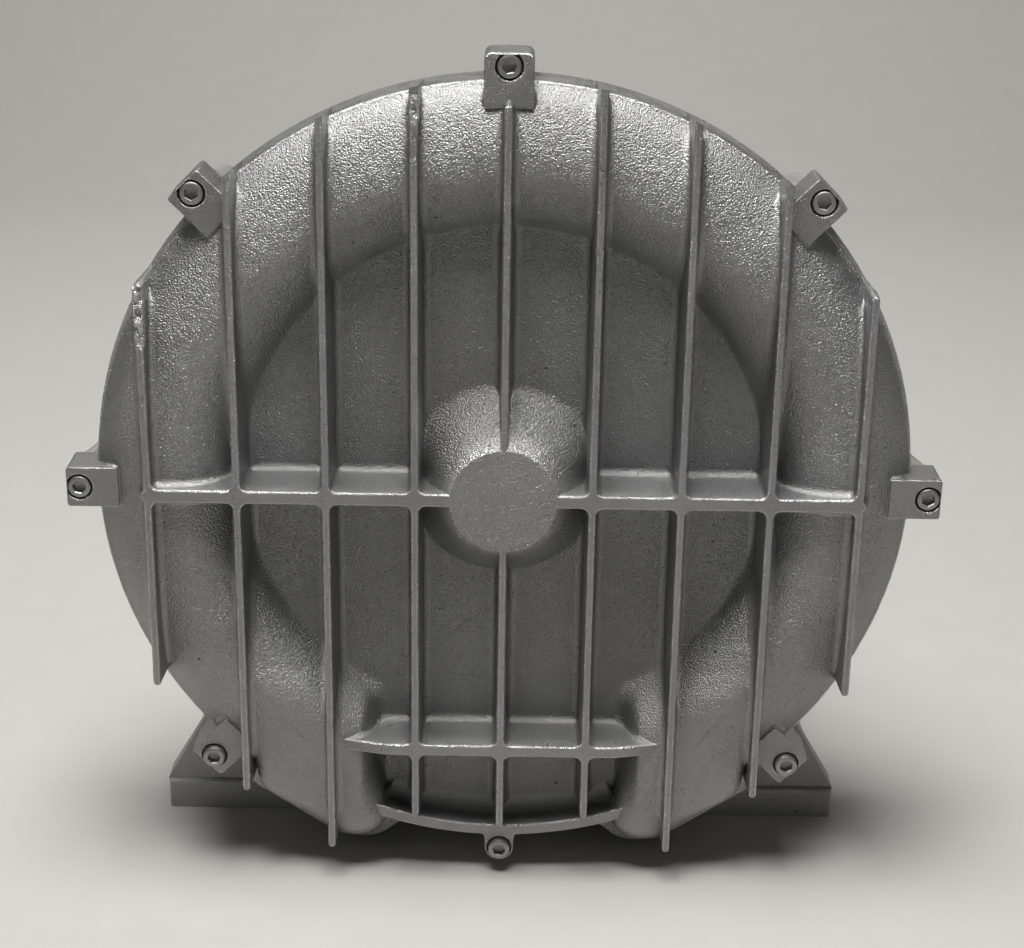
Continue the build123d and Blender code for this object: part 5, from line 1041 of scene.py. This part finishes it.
class BLOWER_OT_cover_ducts(Operator):
    """Build the two duct lobes and the band between them"""

    bl_idname = "blower.cover_ducts"
    bl_label = "Duct lobes and band"

    def execute(self, context):
        shells = []
        centre, within = np.array(LOBE_CENTRE), LOBE_SIDES - LOBE_MARGIN * LOBE_NORMALS
        rows = [centre + (within - centre) * share for share in np.linspace(0, 1, 30, endpoint=False) ** 0.8]
        rows += [LOBE_SIDES + gap * LOBE_NORMALS for gap in np.linspace(-LOBE_MARGIN, 0.0, 18)]
        rows += [LOBE_SIDES + gap * LOBE_NORMALS for gap in (0.6, 1.4, 2.4, 3.6, 5.0, 6.5)]
        rows = np.array(rows)
        depth = skin_depth(rows[..., 0], rows[..., 1])
        over = beyond_rim(rows[..., 0], rows[..., 1]) > 0.5
        depth = depth - np.where(over, 0.0, 0.04)
        depth[-1] = np.minimum(depth[-1] + 1.0, PARTING_Y)
        rows = np.concatenate([rows, rows[-1:], rows[:1]])
        depth = np.concatenate([depth, np.full((2, depth.shape[1]), PARTING_Y + 0.02)])
        grid = np.stack([rows[..., 0], depth, rows[..., 1]], -1)
        pebble = skin_pebble(grid[..., 0], grid[..., 2])
        wear = np.zeros(pebble.shape)
        shells.append((grid, wear, pebble))
        shells.append((grid * [-1, 1, 1], wear, pebble))
        inner_r, outer_r = BAND_RADII
        half_turn = math.degrees(math.asin(BAND_REACH / outer_r))
        turn = np.linspace(270 - half_turn, 270 + half_turn, 48)
        outer, inner = polar(outer_r - 0.01, turn).T, polar(inner_r, turn[::-1]).T
        outline = np.concatenate([outer, inner])
        normals = np.concatenate([outer / outer_r, -inner / inner_r])
        middle = polar((inner_r + outer_r) / 2, np.concatenate([turn, turn[::-1]])).T
        shells.append(raised_form(outline, normals, middle, lambda x, z: 0.1 * lumps(x, z, 40, 6),
                                  skin_depth, 1.0, BAND_DRAFT, BAND_FOOT_R, inner=3, pebble=0.15))
        build_piece("cover_ducts", shells, finish_of("cast_silver"))
        return {"FINISHED"}


def screw_places():
    """Places of the cover screws: (x, z, depth of the seat)."""
    places = [(*polar(SCREW_CIRCLE_R, angle), SEATS[angle in (225, 315)]) for angle in LUG_ANGLES]
    return places + [(0.0, EAR_Z, SEATS[1])]


class BLOWER_OT_cover_lugs(Operator):
    """Build the screw lugs round the rim and the ear at the bottom"""

    bl_idname = "blower.cover_lugs"
    bl_label = "Screw lugs"

    def execute(self, context):
        sizes = cover_sizes()
        shells = []
        for angle, (x, z, seat) in zip(LUG_ANGLES, screw_places()):
            top = angle == 90
            half = sizes["top_lug_width" if top else "lug_width"] / 2
            corner_r = TOP_LUG_CORNER_R if top else sizes["lug_corner"]
            low, high = LUG_ENDS
            box = [(low, -half), (high, -half), (high, half), (low, half)]
            outline, normals = rounded_outline(box, [0.6, corner_r, corner_r, 0.6], 0.8)
            cos, sin = np.cos(np.radians(angle)), np.sin(np.radians(angle))
            turn = np.array([[cos, sin], [-sin, cos]])

            def front(px, pz, seed=20 + angle):
                return 0.12 + 0.12 * lumps(px, pz, 16, seed)

            shells.append(raised_form(outline @ turn, normals @ turn, (x, z), front, skin_depth,
                                      TOP_LUG_EDGE_R if top else LUG_EDGE_R, 0.0, LUG_FOOT_R,
                                      bore=((x, z), COUNTERBORE_R, seat), inner=4, pebble=0.3))
        outline, normals = rounded_outline(EAR_CORNERS, EAR_ROUNDING, 0.8)
        shells.append(raised_form(outline, normals, (0, EAR_Z), lambda x, z: 0.1 * lumps(x, z, 14, 5),
                                  skin_depth, 0.6, bore=((0, EAR_Z), COUNTERBORE_R, SEATS[1]), inner=3,
                                  pebble=0.2))
        build_piece("cover_lugs", shells, finish_of("cast_silver"))
        return {"FINISHED"}


class BLOWER_OT_cover_screws(Operator):
    """Build the socket head screws of the cover"""

    bl_idname = "blower.cover_screws"
    bl_label = "Cover screws"

    def execute(self, context):
        sizes = cover_sizes()
        head_r, head, flats = sizes["head_radius"], sizes["head_height"], sizes["key_width"] / 2
        chamfer, end, tip_r = SHANK_TIP
        shells = []
        for i, (x, z, seat) in enumerate(screw_places()):
            top = seat - head
            twist = 0.7 * i

            def hexagon(angle, twist=twist):
                sector = np.mod(angle + twist + np.pi / 6, np.pi / 3) - np.pi / 6
                return flats / np.cos(sector)

            socket = [(0, top + 3.8), (1, top + 3), (1, top + 0.35), (1.12, top)]
            outside = [(head_r - 0.9, top), (head_r - 0.45, top + 0.15), (head_r - 0.1, top + 0.5),
                       (head_r, top + 0.9), (head_r, seat), (SHANK_R, seat), (SHANK_R, PARTING_Y + chamfer),
                       (tip_r, PARTING_Y + end), (0, PARTING_Y + end)]
            grid = np.concatenate([turned_grid(socket, (x, z), 60, hexagon),
                                   turned_grid(outside, (x, z), 60)])
            wear = np.zeros(grid.shape[:2])
            wear[3:8] = 0.8
            shells.append((grid, wear, np.zeros(grid.shape[:2])))
        build_piece("cover_screw_set", shells, finish_of("screw_steel"),
                    stands_for=["cover_screws"], crease=30)
        return {"FINISHED"}


class BLOWER_OT_housing(Operator):
    """Copy the housing with its outer wall drawn in towards the back, as a casting leaves its mould"""

    bl_idname = "blower.housing"
    bl_label = "Housing casting"

    def execute(self, context):
        shape = bmesh.new()
        shape.from_mesh(frame["nodes"]["impeller_housing"].data)
        bmesh.ops.remove_doubles(shape, verts=shape.verts, dist=1e-6)
        mesh = bpy.data.meshes.new("housing_casting")
        shape.to_mesh(mesh)
        shape.free()
        flat = np.empty(len(mesh.vertices) * 3)
        mesh.vertices.foreach_get("co", flat)
        points = flat.reshape(-1, 3) / MM - ORIGIN
        x, y, z = points.T
        radius = np.hypot(x, z)
        drawn = np.maximum(radius - HOUSING_DRAW * np.clip(y - PARTING_Y, 0, HOUSING_DEPTH),
                           HOUSING_BARREL_R + 0.1 * (radius - HOUSING_BARREL_R))
        near = np.min([np.hypot(x - px, z - pz) for px, pz, _ in screw_places()], axis=0) < SCREW_CLEAR_R
        share = np.where((radius > HOUSING_BARREL_R) & ~near, drawn / np.maximum(radius, 1), 1.0)
        points[:, 0] *= share
        points[:, 2] *= share
        mesh.vertices.foreach_set("co", row_frame(points).ravel())
        least_r, behind, worn = RUBBED_RIM
        wear = worn * ((radius > least_r) & (y < PARTING_Y + behind))
        mesh.attributes.new("wear", "FLOAT", "POINT").data.foreach_set("value", wear.astype(np.float32))
        mesh.shade_smooth()
        mesh.set_sharp_from_angle(angle=math.radians(30))
        mesh.materials.clear()
        mesh.materials.append(finish_of("housing_silver"))
        place_piece(mesh, stands_for=["impeller_housing"])
        return {"FINISHED"}


class BLOWER_OT_stage(Operator):
    """Build the floor and backdrop, the lights, the sky and the camera"""

    bl_idname = "blower.stage"
    bl_label = "Stage"

    def execute(self, context):
        stage = context.scene.blower_stage
        turn = np.linspace(0, np.pi / 2, 16)
        near, start, back = FLOOR_Y
        bend = BACKDROP_BEND
        along = np.concatenate([[near], np.linspace(start, back - bend, 6), back - bend + bend * np.sin(turn),
                                [back]])
        up = np.concatenate([np.zeros(7), bend * (1 - np.cos(turn)), [BACKDROP_TOP]])
        across = np.linspace(-FLOOR_HALF_WIDTH, FLOOR_HALF_WIDTH, 9)
        grid = np.stack(np.broadcast_arrays(across[None, :], along[:, None], up[:, None]), -1)
        i, j = np.meshgrid(np.arange(grid.shape[0] - 1), np.arange(grid.shape[1] - 1), indexing="ij")
        first = (i * grid.shape[1] + j).ravel()
        faces = np.stack([first, first + 1, first + grid.shape[1] + 1, first + grid.shape[1]], -1)
        mesh = bpy.data.meshes.new("floor")
        mesh.from_pydata(grid.reshape(-1, 3), [], faces.tolist())
        mesh.shade_smooth()
        mesh.materials.append(floor_finish(context.scene.blower_colours.floor))
        floor = bpy.data.objects.new("floor", mesh)
        context.scene.collection.objects.link(floor)
        for name, (place, target, width, value) in LIGHTS.items():
            self.light(name, place, target, width, getattr(stage, value))
        world = bpy.data.worlds.new("sky")
        world.use_nodes = True
        sky = world.node_tree.nodes["Background"]
        sky.inputs["Color"].default_value = (1.0, 1.0, 1.0, 1.0)
        sky.inputs["Strength"].default_value = stage.sky
        context.scene.world = world
        self.camera(context, stage.lens)
        context.scene.view_settings.view_transform = "Standard"
        return {"FINISHED"}

    def light(self, name, place, target, width, power):
        """A square soft light at a place, turned to its target."""
        lamp = bpy.data.lights.new(name, "AREA")
        lamp.size, lamp.energy = width, power
        lamp.color = LIGHT_COLOUR
        light = bpy.data.objects.new(name, lamp)
        light.location = place
        aim = np.array(target) - np.array(place)
        light.rotation_euler = Matrix(basis(aim, (0.0, 1.0, 0.0))).to_euler()
        bpy.context.scene.collection.objects.link(light)

    def camera(self, context, lens):
        """Camera in front of the cover, a little above the hub."""
        lens_data = bpy.data.cameras.new("camera")
        lens_data.lens, lens_data.sensor_width = lens, SENSOR_WIDTH
        camera = bpy.data.objects.new("camera", lens_data)
        pitch, yaw, roll = np.radians(CAMERA_TURN)
        ahead = np.array([-np.sin(yaw) * np.cos(pitch), np.cos(yaw) * np.cos(pitch), -np.sin(pitch)])
        level = np.array([np.cos(yaw), np.sin(yaw), 0.0])
        up = np.cross(level, ahead)
        right, up = np.cos(roll) * level + np.sin(roll) * up, -np.sin(roll) * level + np.cos(roll) * up
        turn = Matrix(np.stack([right, up, -ahead], -1).tolist())
        camera.matrix_world = Matrix.Translation(CAMERA_PLACE) @ turn.to_4x4()
        context.scene.collection.objects.link(camera)
        context.scene.camera = camera


def basis(aim, up):
    """Turn whose -z axis runs along aim, with y as near to up as it can be."""
    back = -np.array(aim, float) / np.linalg.norm(aim)
    right = np.cross(up, back)
    right = right / np.linalg.norm(right)
    return np.stack([right, np.cross(back, right), back], -1).tolist()


class BLOWER_PT_sidebar(Panel):
    """Buttons and values of the blower"""

    bl_idname = "BLOWER_PT_sidebar"
    bl_label = "Side Channel Blower"
    bl_space_type = "VIEW_3D"
    bl_region_type = "UI"
    bl_category = "Blower"

    def draw(self, context):
        column = self.layout.column()
        for operator in STEPS:
            column.operator(operator.bl_idname)
        for name, properties in GROUPS_OF_VALUES.items():
            box = self.layout.box()
            for label in properties.__annotations__:
                box.prop(getattr(context.scene, name), label)


STEPS = [BLOWER_OT_finishes, BLOWER_OT_cover_shell, BLOWER_OT_cover_ribs, BLOWER_OT_cover_ducts,
         BLOWER_OT_cover_lugs, BLOWER_OT_cover_screws, BLOWER_OT_housing, BLOWER_OT_stage]
GROUPS_OF_VALUES = {"blower_cover": CoverSizes, "blower_colours": BlowerColours, "blower_stage": StageSizes}


def register():
    """Registers the values, the operators and the panel."""
    for item in (*GROUPS_OF_VALUES.values(), *STEPS, BLOWER_PT_sidebar):
        bpy.utils.register_class(item)
    for name, properties in GROUPS_OF_VALUES.items():
        setattr(bpy.types.Scene, name, PointerProperty(type=properties))


def unregister():
    """Takes the panel, the operators and the values out again."""
    for name in GROUPS_OF_VALUES:
        delattr(bpy.types.Scene, name)
    for item in (BLOWER_PT_sidebar, *reversed(STEPS), *GROUPS_OF_VALUES.values()):
        bpy.utils.unregister_class(item)


def main():
    """Builds every piece and the stage."""
    register()
    bpy.ops.blower.finishes()
    bpy.ops.blower.cover_shell()
    bpy.ops.blower.cover_ribs()
    bpy.ops.blower.cover_ducts()
    bpy.ops.blower.cover_lugs()
    bpy.ops.blower.cover_screws()
    bpy.ops.blower.housing()
    bpy.ops.blower.stage()


if __name__ == "__main__":
    main()
